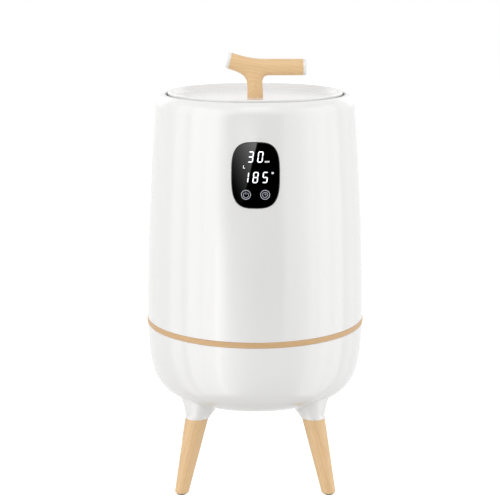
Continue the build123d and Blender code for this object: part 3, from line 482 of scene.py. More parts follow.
@dataclass(frozen=True)
class Metal(Finish):
    """Brushed, spun or plated metal, with its lines along X or round the axis."""

    colour: Colour
    roughness: float = 0.3
    spacing: float = 0.0006
    around: bool = False
    depth: float = 0.00001
    metallic: float = 1.0
    effect = SpunLines
    constants = {"Metallic": "metallic"}


@dataclass(frozen=True)
class Nap(Finish):
    """Felt, foam or wool."""

    colour: Colour
    cell_scale: float = 600.0
    depth: float = 0.0004
    sheen: float = 0.3
    effect = SoftNap
    constants = {"Sheen Weight": "sheen"}


WHITE_SHELL = Plastic(
    "white_shell", (0.86, 0.857, 0.848), roughness=0.26, tone=0.012, spread=0.05,
    coat=1.0, coat_roughness=0.14,
)
GREY_COLLAR = Plastic("grey_collar", (0.56, 0.56, 0.55), roughness=0.5, pebble_scale=1400.0)
GLOSS_PANEL = Plastic(
    "gloss_panel", (0.0004, 0.0004, 0.0005), roughness=0.03, spread=0.02, tone=0.3, depth=0.0,
)
BLACK_FRAME = Plastic("black_frame", (0.03, 0.03, 0.032), roughness=0.6, depth=0.00003)
FROSTED_CUP = Plastic("frosted_cup", (0.83, 0.84, 0.83), roughness=0.45, clear=0.25)
GREY_SEAL = Plastic("grey_seal", (0.64, 0.64, 0.63), roughness=0.7, depth=0.00002)
BLACK_RUBBER = Plastic("dark_rubber", (0.035, 0.035, 0.036), roughness=0.75, depth=0.00004)
HEATER_SHEET = Plastic(
    "heater_sheet", (0.50, 0.14, 0.05), roughness=0.7, tone=0.15, depth=0.00004,
)
BOARD_GREEN = Plastic("board_mask", (0.02, 0.16, 0.06), roughness=0.35, tone=0.2, depth=0.00002)
DARK_CASING = Plastic("dark_casing", (0.04, 0.04, 0.045), roughness=0.5)
GREY_CASING = Plastic("grey_casing", (0.20, 0.21, 0.22), roughness=0.5)
BLUE_CASING = Plastic("blue_casing", (0.04, 0.12, 0.38), roughness=0.35)
CABLE_RIBBON = Plastic("cable_ribbon", (0.42, 0.42, 0.41), roughness=0.5, tone=0.15)
BLACK_CARD = Plastic("black_card", (0.001, 0.001, 0.001), roughness=0.9, specular=0.0)
SPUN_ALUMINIUM = Metal("spun_aluminium", (0.86, 0.86, 0.86), roughness=0.42, around=True)
PLATED_STEEL = Metal("plated_steel", (0.60, 0.61, 0.63), roughness=0.28, spacing=0.0003)
TURNED_BRASS = Metal("turned_brass", (0.70, 0.50, 0.20), roughness=0.3, spacing=0.0003)
BAND_TIMBER = Timber(
    "band_timber", around=True, pale=(0.72, 0.47, 0.24), deep=(0.48, 0.26, 0.10), spacing=0.0026,
)
GRIP_TIMBER = Timber("grip_timber", (0.985, 0.0, -0.17), (0.0, 0.034, -0.52), spacing=0.0042)
WHITE_FELT = Nap("white_felt_mat", (0.82, 0.81, 0.77))
GREY_FOAM = Nap("grey_foam_mat", (0.42, 0.43, 0.44), cell_scale=900.0)
WHITE_GLOW = Lit("white_glow", (0.93, 0.97, 1.0), strength=0.82)
DIM_GLOW = Lit("dim_glow", (0.42, 0.43, 0.44))
ICON_GLOW = Lit("icon_glow", (0.37, 0.38, 0.44), strength=0.8)


# ---------------- shapes that repeat
class Recipe(Group):
    """A geometry node tree with named inputs that becomes plain meshes."""

    kind = "GeometryNodeTree"
    always = {"Geometry": "Geometry", "Finish": "Material"}
    outputs = {"Geometry": "Geometry"}

    @classmethod
    def shape(cls, wiring: Wiring, source: Sockets) -> Socket:
        """Wires the shape and returns its geometry; each recipe has its own."""
        raise NotImplementedError

    @classmethod
    def wire(cls, wiring: Wiring, source: Sockets) -> Feeds:
        """Makes the shape real and gives it its finish."""
        real = wiring.out("GeometryNodeRealizeInstances", {"Geometry": cls.shape(wiring, source)})
        feeds = {"Geometry": real, "Material": source["Finish"]}
        return {"Geometry": wiring.out("GeometryNodeSetMaterial", feeds)}

    @classmethod
    def make(
        cls, piece_name: str, finish: Finish, source: bpy.types.Mesh | None = None, **values: float,
    ) -> Piece:
        """Runs the tree and keeps its result as a plain mesh.

        Args:
            piece_name: The new object's name.
            finish: Its finish.
            source: The mesh that the tree starts from, if it needs one.
            values: Input name, in small letters with _ for a space, to its value.

        Returns:
            The new object, at the origin.
        """
        piece = link(piece_name, source or bpy.data.meshes.new(piece_name))
        modifier = piece.modifiers.new(cls.name, "NODES")
        modifier.node_group = cls.tree()
        wanted = {name.replace("_", " ").title(): value for name, value in values.items()}
        wanted["Finish"] = finish.material()
        for item in cls.tree().interface.items_tree:
            if item.in_out == "INPUT" and item.name in wanted:
                modifier[item.identifier] = wanted[item.name]
        evaluated = piece.evaluated_get(bpy.context.evaluated_depsgraph_get())
        plain = bpy.data.meshes.new_from_object(evaluated)
        piece.modifiers.remove(modifier)
        piece.data = plain
        close_up(plain)
        return piece


class ScrewCircle(Recipe):
    """Cross-recess screws on a circle, heads down, each turned at random."""

    name = "screw_circle"
    values = (
        "Circle Radius", "First Angle", "Seat Height", "Head Radius", "Head Height",
        "Shank Radius", "Shank Length", "Recess Length", "Recess Width", "Recess Depth",
    )
    counts = ("Count", "Seed")
    ROUND_SIDES = 48

    @classmethod
    def screw(cls, wiring: Wiring, source: Sockets) -> Socket:
        """Wires one screw whose head hangs below z = 0 and whose shank stands above it."""
        height, long = source["Head Height"], source["Shank Length"]
        half_down = wiring.times(height, -0.5)
        reach = wiring.times(source["Recess Depth"], 2.0)
        head = wiring.rod(cls.ROUND_SIDES, source["Head Radius"], height)
        feeds = {"Mesh 1": head}
        cut = wiring.add("GeometryNodeMeshBoolean", feeds, operation="DIFFERENCE", solver="EXACT")
        length, width = source["Recess Length"], source["Recess Width"]
        for across, over in ((length, width), (width, length)):
            size = {"Size": wiring.joined(X=across, Y=over, Z=reach)}
            cube = wiring.out("GeometryNodeMeshCube", size, "Mesh")
            wiring.feed(cut.inputs["Mesh 2"], wiring.raised(cube, half_down))
        shank = wiring.rod(cls.ROUND_SIDES, source["Shank Radius"], long)
        join = wiring.add("GeometryNodeJoinGeometry")
        wiring.feed(join.inputs[0], wiring.raised(cut.outputs["Mesh"], half_down))
        wiring.feed(join.inputs[0], wiring.raised(shank, wiring.times(long, 0.5)))
        return join.outputs[0]

    @classmethod
    def shape(cls, wiring: Wiring, source: Sockets) -> Socket:
        """Wires the circle of seats and stands a screw in each."""
        feeds = {"Vertices": source["Count"], "Radius": source["Circle Radius"]}
        circle = wiring.out("GeometryNodeMeshCircle", feeds)
        first = wiring.rotation(source["First Angle"])
        seats = wiring.raised(circle, source["Seat Height"], Rotation=first)
        feeds = {2: 0.0, 3: math.tau, "Seed": source["Seed"]}
        turn = wiring.out("FunctionNodeRandomValue", feeds, 1, data_type="FLOAT")
        return wiring.out("GeometryNodeInstanceOnPoints", {
            "Points": seats, "Instance": cls.screw(wiring, source), "Rotation": wiring.rotation(turn),
        })


class RoundBand(Recipe):
    """A band of rounded section that follows a circle about the axis."""

    name = "round_band"
    values = ("Path Radius", "Section Width", "Section Height", "Corner Radius", "Level")
    counts = ("Steps", "Corner Steps")

    @classmethod
    def shape(cls, wiring: Wiring, source: Sockets) -> Socket:
        """Wires the circle and sweeps the section along it."""
        feeds = {"Resolution": source["Steps"], "Radius": source["Path Radius"]}
        circle = wiring.out("GeometryNodeCurvePrimitiveCircle", feeds)
        path = wiring.out("GeometryNodeSetCurveNormal", {"Curve": circle}, mode="Z_UP")
        feeds = {"Width": source["Section Width"], "Height": source["Section Height"]}
        section = wiring.out("GeometryNodeCurvePrimitiveQuadrilateral", feeds)
        feeds = {"Curve": section, "Count": source["Corner Steps"], "Radius": source["Corner Radius"]}
        rounded = wiring.out("GeometryNodeFilletCurve", feeds, mode="POLY")
        swept = wiring.out("GeometryNodeCurveToMesh", {"Curve": path, "Profile Curve": rounded})
        return wiring.raised(swept, source["Level"])


class Stroke(Recipe):
    """A flat stroke of even width along each line of the source mesh, in the XY plane."""

    name = "stroke"
    values = ("Width", "Thickness", "End Taper")
    END_SHARE, HALF = 6.0, 0.5

    @classmethod
    def shape(cls, wiring: Wiring, source: Sockets) -> Socket:
        """Wires the lines as curves and sweeps a narrow section that may taper at its ends."""
        curve = wiring.out("GeometryNodeMeshToCurve", {"Mesh": source["Geometry"]})
        path = wiring.out("GeometryNodeSetCurveNormal", {"Curve": curve}, mode="Z_UP")
        along = wiring.out("GeometryNodeSplineParameter", output="Factor")
        middle = wiring.maths("ABSOLUTE", wiring.minus(along, cls.HALF))
        rise = wiring.times(wiring.minus(cls.HALF, middle), cls.END_SHARE)
        lost = wiring.times(wiring.minus(1.0, rise), source["End Taper"])
        swell = wiring.maths("MINIMUM", wiring.minus(1.0, lost), 1.0)
        feeds = {"Width": source["Width"], "Height": source["Thickness"]}
        section = wiring.out("GeometryNodeCurvePrimitiveQuadrilateral", feeds)
        return wiring.out("GeometryNodeCurveToMesh", {
            "Curve": path, "Profile Curve": section, "Scale": swell, "Fill Caps": True,
        })


def link(name: str, data: bpy.types.ID) -> Piece:
    """Returns a new object in the scene that holds some data."""
    made = bpy.data.objects.new(name, data)
    bpy.context.scene.collection.objects.link(made)
    return made


def close_up(mesh: bpy.types.Mesh) -> None:
    """Merges doubles, turns faces outwards and smooths all but sharp edges.

    Args:
        mesh: The mesh to finish.
    """
    shape = bmesh.new()
    shape.from_mesh(mesh)
    bmesh.ops.remove_doubles(shape, verts=shape.verts, dist=MERGE_REACH)
    bmesh.ops.recalc_face_normals(shape, faces=shape.faces)
    shape.to_mesh(mesh)
    shape.free()
    mesh.shade_smooth()
    mesh.set_sharp_from_angle(angle=SHARP_TURN)


def carry(piece: Piece, body: Body, slot: Slot, *stands_for: str) -> None:
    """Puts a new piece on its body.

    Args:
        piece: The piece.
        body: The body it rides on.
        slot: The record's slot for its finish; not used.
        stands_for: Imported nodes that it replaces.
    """
    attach(piece, body.value)
    if stands_for:
        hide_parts(*stands_for)
    LOG.info("built %s on %s", piece.name, body.value)


def dress(finish: Finish, *nodes: str) -> None:
    """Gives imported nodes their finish.

    Args:
        finish: The finish.
        nodes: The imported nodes' names.
    """
    for name in nodes:
        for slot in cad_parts[name].material_slots:
            slot.material = finish.material()
        LOG.info("dressed %s in %s", name, finish.name)


# ---------------- sub-assemblies
@dataclass(frozen=True)
class ScrewRing:
    """Screws on a circle under a level seat; each field is named as the recipe's input."""

    circle_radius: float
    first_angle: float
    seat_height: float
    head_radius: float
    head_height: float
    shank_radius: float
    shank_length: float
    recess_length: float
    recess_width: float
    recess_depth: float
    seed: int
    count: int = 4

    def build(self, name: str, body: Body, node: str) -> None:
        """Builds the screws on a body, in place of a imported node."""
        carry(ScrewCircle.make(name, PLATED_STEEL, **asdict(self)), body, Slot.STEEL, node)


class SubAssembly:
    """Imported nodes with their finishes, and the pieces that they lack."""

    finishes: tuple[tuple, ...] = ()

    def build(self) -> None:
        """Dresses the nodes, then adds the pieces that they lack."""
        for finish, *nodes in self.finishes:
            dress(finish, *nodes)
        self.add_pieces()

    def add_pieces(self) -> None:
        """Adds nothing; a sub-assembly that lacks pieces has its own."""


@dataclass
class Barrel(SubAssembly):
    """The white shells, the wood band between them and what fastens them."""

    band_depth: float = 0.0072
    band_round: float = 0.001
    band_steps: int = 320
    band_corner_steps: int = 6
    screws: ScrewRing = ScrewRing(
        circle_radius=0.100, first_angle=0.0, seat_height=0.18595, head_radius=0.004,
        head_height=0.0028, shank_radius=0.002, shank_length=0.026, recess_length=0.0044,
        recess_width=0.001, recess_depth=0.0012, seed=3,
    )
    finishes = ((WHITE_SHELL, "outer_shell", "base_bowl"), (BLACK_RUBBER, "cord_gland"))

    def add_pieces(self) -> None:
        """Builds the wood band with its grain round it, and the screws in the bowl's towers."""
        low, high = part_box("accent_ring")
        band = RoundBand.make(
            "accent_band", BAND_TIMBER,
            path_radius=high.x - self.band_depth / 2, section_width=self.band_depth,
            section_height=high.z - low.z, corner_radius=self.band_round,
            level=(low.z + high.z) / 2, steps=self.band_steps, corner_steps=self.band_corner_steps,
        )
        carry(band, Body.CASE, Slot.LIGHT_WOOD, "accent_ring")
        self.screws.build("shell_screw_set", Body.CASE, "shell_screws")


@dataclass
class Legs(SubAssembly):
    """The four splayed legs with their pads, bolts and inserts."""

    lean: float = math.atan2(30.4, 103.2)
    corners: tuple[str, ...] = ("front_left", "front_right", "rear_left", "rear_right")
    first_pith: Point = (0.0, 0.027, 0.031)
    pith_step: Point = (0.11, 0.004, -0.003)
    finishes = (
        (BLACK_RUBBER, "foot_pads"), (PLATED_STEEL, "leg_bolts"), (TURNED_BRASS, "leg_inserts"),
    )

    def add_pieces(self) -> None:
        """Dresses each leg with the grain along its own axis."""
        for index, corner in enumerate(self.corners):
            low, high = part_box(f"leg_{corner}")
            centre = (low + high) / 2
            outward = Vector((centre.x, centre.y, 0)).normalized()
            grain = Vector((0, 0, math.cos(self.lean))) - outward * math.sin(self.lean)
            pith = tuple(a + b * index for a, b in zip(self.first_pith, self.pith_step))
            dress(Timber(f"leg_timber_{corner}", tuple(grain), pith), f"leg_{corner}")


class HeatChamber(SubAssembly):
    """The collar, the drum with its heater, and what holds and insulates it."""

    finishes = (
        (GREY_COLLAR, "top_collar"),
        (GREY_SEAL, "rim_gasket"),
        (SPUN_ALUMINIUM, "heat_drum"),
        (HEATER_SHEET, "heater_film"),
        (WHITE_FELT, "insulation_wrap", "bottom_insulation"),
        (BLACK_FRAME, "drum_cradle"),
        (PLATED_STEEL, "thermostat", "temp_sensor"),
        (BLUE_CASING, "thermal_fuse"),
    )


class Electronics(SubAssembly):
    """The supply board in the bowl and what stands on it."""

    finishes = (
        (BOARD_GREEN, "power_board"),
        (BLUE_CASING, "relay", "terminal_block"),
        (DARK_CASING, "transformer", "capacitors"),
        (PLATED_STEEL, "board_screws"),
    )


class Segment(Enum):
    """The seven strokes of a numeral, as (x in half widths, y in quarter heights, upright)."""

    TOP = (0, 2, False)
    UPPER_RIGHT = (1, 1, True)
    LOWER_RIGHT = (1, -1, True)
    BOTTOM = (0, -2, False)
    LOWER_LEFT = (-1, -1, True)
    UPPER_LEFT = (-1, 1, True)
    MIDDLE = (0, 0, False)


RIGHT_PAIR = (Segment.UPPER_RIGHT, Segment.LOWER_RIGHT)
THREE_BARS = (Segment.TOP, Segment.MIDDLE, Segment.BOTTOM)
NUMERALS = {
    "0": tuple(stroke for stroke in Segment if stroke is not Segment.MIDDLE),
    "1": RIGHT_PAIR,
    "3": RIGHT_PAIR + THREE_BARS,
    "5": THREE_BARS + (Segment.UPPER_LEFT, Segment.LOWER_RIGHT),
    "8": tuple(Segment),
}


@dataclass(frozen=True)
class Mark:
    """How a group of strokes looks."""

    finish: Finish
    width: float
    taper: float = 0.0


DIGITS, UNIT, FINE = Mark(WHITE_GLOW, 0.0014, 0.75), Mark(DIM_GLOW, 0.0019), Mark(WHITE_GLOW, 0.0006)
RING, SIGN = Mark(ICON_GLOW, 0.0006), Mark(ICON_GLOW, 0.0005)


@dataclass
class LineArt:
    """Lines in the XY plane that a stroke follows."""

    points: list[Place] = field(default_factory=list)
    edges: list[tuple[int, int]] = field(default_factory=list)

    def line(self, start: Place, end: Place, steps: int = 20) -> None:
        """Adds a straight line, divided so that its ends can taper."""
        spots = [Vector(start).lerp(Vector(end), step / steps) for step in range(steps + 1)]
        self._chain([tuple(spot) for spot in spots], closed=False)

    def arc(
        self, centre: Place, radius: float, start: float = 0, sweep: float = 360, steps: int = 64,
    ) -> None:
        """Adds an arc, or a ring where it sweeps a full turn.

        Args:
            centre: The arc's centre.
            radius: Its radius.
            start: Its first angle, from +X, in degrees.
            sweep: How far it turns, in degrees.
            steps: How many parts it has.
        """
        closed = abs(sweep) >= 360
        count = steps if closed else steps + 1
        angles = [math.radians(start + sweep * step / steps) for step in range(count)]
        x, y = centre
        spots = [(x + radius * math.cos(a), y + radius * math.sin(a)) for a in angles]
        self._chain(spots, closed)

    def _chain(self, spots: list[Place], closed: bool) -> None:
        """Adds points joined in order.

        Args:
            spots: The points.
            closed: Whether the last joins the first.
        """
        first = len(self.points)
        self.points += spots
        last = first + len(spots) - 1
        self.edges += [(index, index + 1) for index in range(first, last)]
        if closed:
            self.edges.append((last, first))

    def mesh(self, name: str) -> bpy.types.Mesh:
        """Returns the lines as a mesh of edges."""
        made = bpy.data.meshes.new(name)
        made.from_pydata([(x, y, 0.0) for x, y in self.points], self.edges, [])
        return made


class FrontSkin:
    """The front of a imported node, found along +Y."""

    START_Y = -1.0
    THICKNESS, LIFT = 0.00012, 0.00002

    def __init__(self, node: str) -> None:
        """Reads the node's faces and the middle of its box as (x, z)."""
        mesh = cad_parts[node].data
        corners = [vertex.co.copy() for vertex in mesh.vertices]
        self.tree = BVHTree.FromPolygons(corners, [tuple(face.vertices) for face in mesh.polygons])
        low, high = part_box(node)
        self.middle = ((low.x + high.x) / 2, (low.z + high.z) / 2)

    def wrap(self, piece: Piece, centre: Place) -> None:
        """Stands flat strokes up and lays them on the front.

        Args:
            piece: Strokes in the XY plane, centred on z = 0.
            centre: Where their origin goes, as (x, z).
        """
        for vertex in piece.data.vertices:
            x, z = centre[0] + vertex.co.x, centre[1] + vertex.co.y
            hit = self.tree.ray_cast(Vector((x, self.START_Y, z)), Vector((0, 1, 0)))[0]
            vertex.co = (x, hit.y - self.LIFT - self.THICKNESS / 2 - vertex.co.z, z)
        piece.data.update()


@dataclass
class ControlPanel(SubAssembly):
    """The glossy panel with its numerals, small marks and two keys."""

    digit_height: float = 0.0143
    digit_width: float = 0.0056
    digit_pitch: float = 0.0123
    digit_gap: float = 0.12
    slant: float = math.tan(math.radians(7))
    unit_line: Line = ((0.0117, 0.0176), (0.0178, 0.0176))
    tick_lines: tuple[Line, ...] = (
        ((-0.0155, 0.0130), (-0.0155, 0.0094)), ((-0.0158, 0.0094), (-0.0136, 0.0094)),
    )
    dot_place: Place = (0.0218, 0.0030)
    dot_radius: float = 0.0010
    dot_steps: int = 32
    ring_radius: float = 0.0058
    ring_steps: int = 96
    sign_radius: float = 0.0033
    power_drop: float = 0.0004
    power_sweep: Place = (125, 290)
    clock_hands: Place = (0.62, 0.5)
    finishes = (
        (GLOSS_PANEL, "display_lens", "power_key", "timer_key"),
        (BLACK_FRAME, "panel_frame"),
        (BOARD_GREEN, "display_board"),
        (PLATED_STEEL, "display_board_screws"),
        (GREY_CASING, "digit_module_upper", "digit_module_lower"),
        (DARK_CASING, "key_switches"),
        (CABLE_RIBBON, "display_cable"),
    )

    def add_pieces(self) -> None:
        """Lays the numerals, the small marks and the keys' faces."""
        lens = FrontSkin("display_lens")
        for row, text in (("upper", "30"), ("lower", "185")):
            low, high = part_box(f"digit_module_{row}")
            self.numeral_row(lens, f"numerals_{row}", text, (low.z + high.z) / 2)
        self.small_marks(lens)
        self.key_face("power_key", Body.POWER_KEY, self.power_sign())
        self.key_face("timer_key", Body.TIMER_KEY, self.clock_sign())

    def lay(
        self, skin: FrontSkin, art: LineArt, name: str, centre: Place, mark: Mark, body: Body,
    ) -> None:
        """Sweeps a stroke along line art and lays it on a surface.

        Args:
            skin: The surface.
            art: The lines.
            name: The piece's name.
            centre: Where the art's origin goes, as (x, z).
            mark: How the strokes look.
            body: The body they ride on.
        """
        piece = Stroke.make(
            name, mark.finish, art.mesh(name + "_lines"),
            width=mark.width, thickness=skin.THICKNESS, end_taper=mark.taper,
        )
        skin.wrap(piece, centre)
        carry(piece, body, Slot.DIGIT_GREY)

    def numeral_row(self, skin: FrontSkin, name: str, text: str, level: float) -> None:
        """Lays one row of slanted seven-stroke numerals, centred on the panel.

        Args:
            skin: The panel's front.
            name: The piece's name.
            text: The numerals.
            level: The row's height above the floor.
        """
        art = LineArt()
        half_width = self.digit_width / 2
        quarter = (self.digit_height - DIGITS.width) / 4
        gap = DIGITS.width * self.digit_gap
        for index, numeral in enumerate(text):
            middle = (index - (len(text) - 1) / 2) * self.digit_pitch
            for segment in NUMERALS[numeral]:
                across, up, upright = segment.value
                x, y = across * half_width, up * quarter
                out, rise = (0.0, quarter - gap) if upright else (half_width - gap, 0.0)
                ends = ((x - out, y - rise), (x + out, y + rise))
                art.line(*[(middle + a + b * self.slant, b) for a, b in ends])
        self.lay(skin, art, name, (0.0, level), DIGITS, Body.CASE)

    def small_marks(self, skin: FrontSkin) -> None:
        """Lays the unit bar, the corner tick and the small ring beside the numerals.

        Args:
            skin: The panel's front.
        """
        centre = (0.0, skin.middle[1])
        unit, fine = LineArt(), LineArt()
        unit.line(*self.unit_line)
        self.lay(skin, unit, "unit_bar", centre, UNIT, Body.CASE)
        for ends in self.tick_lines:
            fine.line(*ends)
        fine.arc(self.dot_place, self.dot_radius, steps=self.dot_steps)
        self.lay(skin, fine, "fine_marks", centre, FINE, Body.CASE)

    def power_sign(self) -> LineArt:
        """Returns an open ring with an upright bar in its gap."""
        art = LineArt()
        art.arc((0.0, -self.power_drop), self.sign_radius, *self.power_sweep)
        art.line((0.0, self.power_drop / 2), (0.0, self.sign_radius + self.power_drop))
        return art

    def clock_sign(self) -> LineArt:
        """Returns a ring with two clock hands."""
        art = LineArt()
        art.arc((0.0, 0.0), self.sign_radius)
        upright, level = self.clock_hands
        art.line((0.0, 0.0), (0.0, self.sign_radius * upright))
        art.line((0.0, 0.0), (self.sign_radius * level, 0.0))
        return art

    def key_face(self, node: str, body: Body, sign: LineArt) -> None:
        """Lays a key's ring and sign on its cap.

        Args:
            node: The key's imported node.
            body: The key's body.
            sign: The sign inside the ring.
        """
        skin, ring = FrontSkin(node), LineArt()
        ring.arc((0.0, 0.0), self.ring_radius, steps=self.ring_steps)
        self.lay(skin, ring, node + "_ring", skin.middle, RING, body)
        self.lay(skin, sign, node + "_sign", skin.middle, SIGN, body)


@dataclass
class Lid(SubAssembly):
    """The lid with its dish, foam, underside plate and screws."""

    screws: ScrewRing = ScrewRing(
        circle_radius=0.070, first_angle=math.radians(45), seat_height=0.52595,
        head_radius=0.0032, head_height=0.00085, shank_radius=0.0014, shank_length=0.0050,
        recess_length=0.0036, recess_width=0.0008, recess_depth=0.0005, seed=11,
    )
    finishes = ((WHITE_SHELL, "lid_cover", "lid_base"), (GREY_FOAM, "lid_foam"))

    def add_pieces(self) -> None:
        """Builds the four screws under the lid."""
        self.screws.build("lid_screw_set", Body.LID, "lid_screws")


class Handle(SubAssembly):
    """The branch-like grip, its end caps and what fastens it."""

    finishes = (
        (GRIP_TIMBER, "handle_grip"),
        (WHITE_SHELL, "handle_end_caps"),
        (PLATED_STEEL, "handle_screw", "handle_washer"),
    )


class AromaCup(SubAssembly):
    """The frosted cup that twists into the lid, and its pad."""

    finishes = ((FROSTED_CUP, "aroma_cup"), (WHITE_FELT, "aroma_pad"))


# ---------------- studio
@dataclass(frozen=True)
class Softbox:
    """A flat lamp whose face may fade across itself.

    fall and ceiling are planes over the face, as (base, rise along X, rise along Y).
    """

    name: str
    centre: Point
    facing: Point
    across: Point
    width: float
    height: float
    radiance: float
    fall: Point | None = None
    ceiling: Point = (1.0, 0.0, 0.0)
    DISTANCE = 2.6
    FALL_TOP = 1.6

    @classmethod
    def beside(
        cls, name: str, degrees: float, radiance: float, elevation: float = 0.0,
        level: float = -0.6, width: float = 0.8, height: float = 5.4, fall: Point | None = None,
    ) -> "Softbox":
        """Returns a lamp that faces the barrel's axis.

        Args:
            name: Its name.
            degrees: Its direction round the axis, from the front towards +X.
            radiance: Its brightness.
            elevation: Its height angle in degrees.
            level: The height of the point that it faces.
            width: Its width.
            height: Its height.
            fall: How its brightness falls over its face.
        """
        turn, rise = math.radians(degrees), math.radians(elevation)
        out, up = cls.DISTANCE * math.cos(rise), cls.DISTANCE * math.sin(rise)
        x, y = out * math.sin(turn), -out * math.cos(turn)
        across = (math.cos(turn), math.sin(turn), 0.0)
        return cls(name, (x, y, up + level), (-x, -y, -up), across, width, height, radiance, fall)

    def build(self) -> None:
        """Adds the lamp, with its power worked out from its face and brightness."""
        lamp = bpy.data.lights.new(self.name, "AREA")
        lamp.shape = "RECTANGLE"
        lamp.size, lamp.size_y = self.width, self.height
        lamp.energy = self.radiance * math.pi * self.width * self.height
        if self.fall is not None:
            self.fade(lamp)
        back = -Vector(self.facing).normalized()
        side = Vector(self.across)
        side = (side - back * side.dot(back)).normalized()
        turn = Matrix((side, back.cross(side), back)).transposed().to_4x4()
        held = link(self.name, lamp)
        held.matrix_world = Matrix.Translation(self.centre) @ turn
        held.visible_camera = False

    def fade(self, lamp: bpy.types.Light) -> None:
        """Makes the face's brightness the square of its fall, times its ceiling.

        Args:
            lamp: The lamp.
        """
        lamp.use_nodes = True
        wiring = Wiring(lamp.node_tree)
        place = wiring.parts(wiring.out("ShaderNodeNewGeometry", output="Parametric"))
        levels = []
        for (base, along, up), top in ((self.fall, self.FALL_TOP), (self.ceiling, 1.0)):
            plane = wiring.plus(wiring.times(place["X"], along), base)
            plane = wiring.plus(wiring.times(place["Y"], up), plane)
            levels.append(wiring.out("ShaderNodeClamp", {"Value": plane, "Min": 0.0, "Max": top}))
        fall, ceiling = levels
        strength = wiring.times(wiring.times(fall, fall), ceiling)
        wiring.feed(lamp.node_tree.nodes["Emission"].inputs["Strength"], strength)


TO_RIGHT, TO_LEFT = (0.0, 1.0, 0.0), (1.0, -1.0, 0.0)
SQUARE = {"level": 0.32, "width": 1.4, "height": 1.4}
SOFTBOXES = (
    Softbox(
        "key_softbox", centre=(-0.756, -2.9, 0.456), facing=(0.0, 1.0, 0.0),
        across=(0.933, 0.0, 0.359), width=1.7, height=0.45, radiance=2.0,
        fall=(-1.071, 2.561, 1.144), ceiling=(10.985, -10.172, -6.998),
    ),
    Softbox.beside("left_low", -16.0, 2.2, level=-1.6, width=2.4, height=3.4, fall=TO_LEFT),
    Softbox.beside("left_high", -16.0, 0.5, level=1.45, width=2.4, height=1.3, fall=TO_LEFT),
    Softbox.beside("left_47", -47.0, 1.35),
    Softbox.beside("left_66", -66.0, 1.18),
    Softbox.beside("left_90", -90.0, 0.66),
    Softbox.beside("right_52", 52.0, 1.54, width=1.2, fall=TO_RIGHT),
    Softbox.beside("right_76", 76.0, 1.15),
    Softbox.beside("right_95", 95.0, 0.88),
    Softbox.beside("right_118", 118.0, 0.21),
    Softbox.beside("front_high", 0.0, 0.9, 50.0, **SQUARE),
    Softbox.beside("back_left", -145.0, 0.4, 20.0, **SQUARE),
    Softbox.beside("back_right", 145.0, 0.4, 20.0, **SQUARE),
)


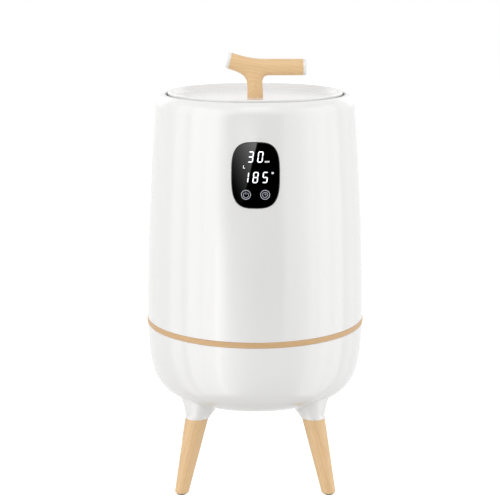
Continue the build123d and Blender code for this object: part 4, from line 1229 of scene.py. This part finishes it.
@dataclass
class Studio:
    """Camera, floor, world and lamps."""

    camera_place: Point = (-0.0071, -1.9091, 0.7355)
    pitch: float = math.radians(12.27)
    focal_mm: float = 100.68
    sensor_mm: float = 36.0
    clip: Place = (0.05, 200.0)
    floor_radius: float = 6.0
    floor_sides: int = 96
    floor_colour: Colour = (0.66, 0.66, 0.66)
    floor_deeper: float = 0.98
    floor_tooth: float = 3.0
    floor_lift: float = 0.7
    ambient: float = 0.75
    flag_half_width: float = 1.8
    flag_low: float = -0.6
    flag_high: float = 1.5
    flag_y: float = -3.1

    def build(self) -> None:
        """Sets up the picture."""
        bpy.context.scene.view_settings.view_transform = "Standard"
        self.camera()
        self.floor()
        self.flag()
        self.world()
        for softbox in SOFTBOXES:
            softbox.build()

    def camera(self) -> None:
        """Adds the camera in front, looking slightly down."""
        lens = bpy.data.cameras.new("camera")
        lens.lens, lens.sensor_width = self.focal_mm, self.sensor_mm
        lens.clip_start, lens.clip_end = self.clip
        held = link("camera", lens)
        held.location = self.camera_place
        held.rotation_euler = (math.pi / 2 - self.pitch, 0.0, 0.0)
        bpy.context.scene.camera = held

    @staticmethod
    def seen(wiring: Wiring) -> Socket:
        """Returns 1 for rays that show the background: camera, glossy and transmission."""
        paths = wiring.add("ShaderNodeLightPath").outputs
        shown = wiring.maths("MAXIMUM", paths["Is Camera Ray"], paths["Is Transmission Ray"])
        return wiring.maths("MAXIMUM", shown, paths["Is Glossy Ray"])

    @staticmethod
    def card(name: str, corners: list[Point], material: bpy.types.Material) -> Piece:
        """Adds a flat card that belongs to the studio.

        Args:
            name: Its name.
            corners: Its corners in order.
            material: Its material.

        Returns:
            The card.
        """
        mesh = bpy.data.meshes.new(name)
        mesh.from_pydata(corners, [], [tuple(range(len(corners)))])
        mesh.materials.append(material)
        held = link(name, mesh)
        return held

    def floor(self) -> None:
        """Adds a pale floor that shows white and keeps the shadow."""
        reach = self.floor_radius
        angles = [math.tau * side / self.floor_sides for side in range(self.floor_sides)]
        rim = [(reach * math.cos(a), reach * math.sin(a), 0.0) for a in angles]
        material = bpy.data.materials.new("floor_card")
        material.use_nodes = True
        wiring = Wiring(material.node_tree)
        inputs = material.node_tree.nodes["Principled BSDF"].inputs
        place = wiring.out("ShaderNodeTexCoord", output="Object")
        deeper = tuple(self.floor_deeper * channel for channel in self.floor_colour)
        tooth = wiring.mix(wiring.noise(place, self.floor_tooth), deeper, self.floor_colour)
        wiring.feed(inputs["Base Color"], tooth)
        wiring.feed(inputs["Emission Strength"], wiring.times(self.seen(wiring), self.floor_lift))
        inputs["Roughness"].default_value = 1.0
        inputs["Specular IOR Level"].default_value = 0.0
        inputs["Emission Color"].default_value = WHITE
        self.card("floor", rim, material).visible_glossy = False

    def flag(self) -> None:
        """Adds a black card behind the camera that only reflections show."""
        half, y, low, high = self.flag_half_width, self.flag_y, self.flag_low, self.flag_high
        corners = [(-half, y, low), (half, y, low), (half, y, high), (-half, y, high)]
        card = self.card("flag", corners, BLACK_CARD.material())
        card.visible_camera = card.visible_diffuse = card.visible_shadow = False

    def world(self) -> None:
        """Adds a world that shows white and lights softly."""
        world = bpy.data.worlds.new("studio")
        world.use_nodes = True
        bpy.context.scene.world = world
        wiring = Wiring(world.node_tree)
        inputs = world.node_tree.nodes["Background"].inputs
        inputs["Color"].default_value = WHITE
        shown = wiring.times(self.seen(wiring), 1.0 - self.ambient)
        wiring.feed(inputs["Strength"], wiring.plus(shown, self.ambient))


def main() -> None:
    """Builds the sub-assemblies in order, then the studio."""
    logging.basicConfig(level=logging.INFO, format="%(name)s: %(message)s")
    parts = (Barrel, Legs, HeatChamber, Electronics, ControlPanel, Lid, Handle, AromaCup, Studio)
    for part in parts:
        LOG.info("building %s", part.__name__)
        part().build()


if __name__ == "__main__":
    main()
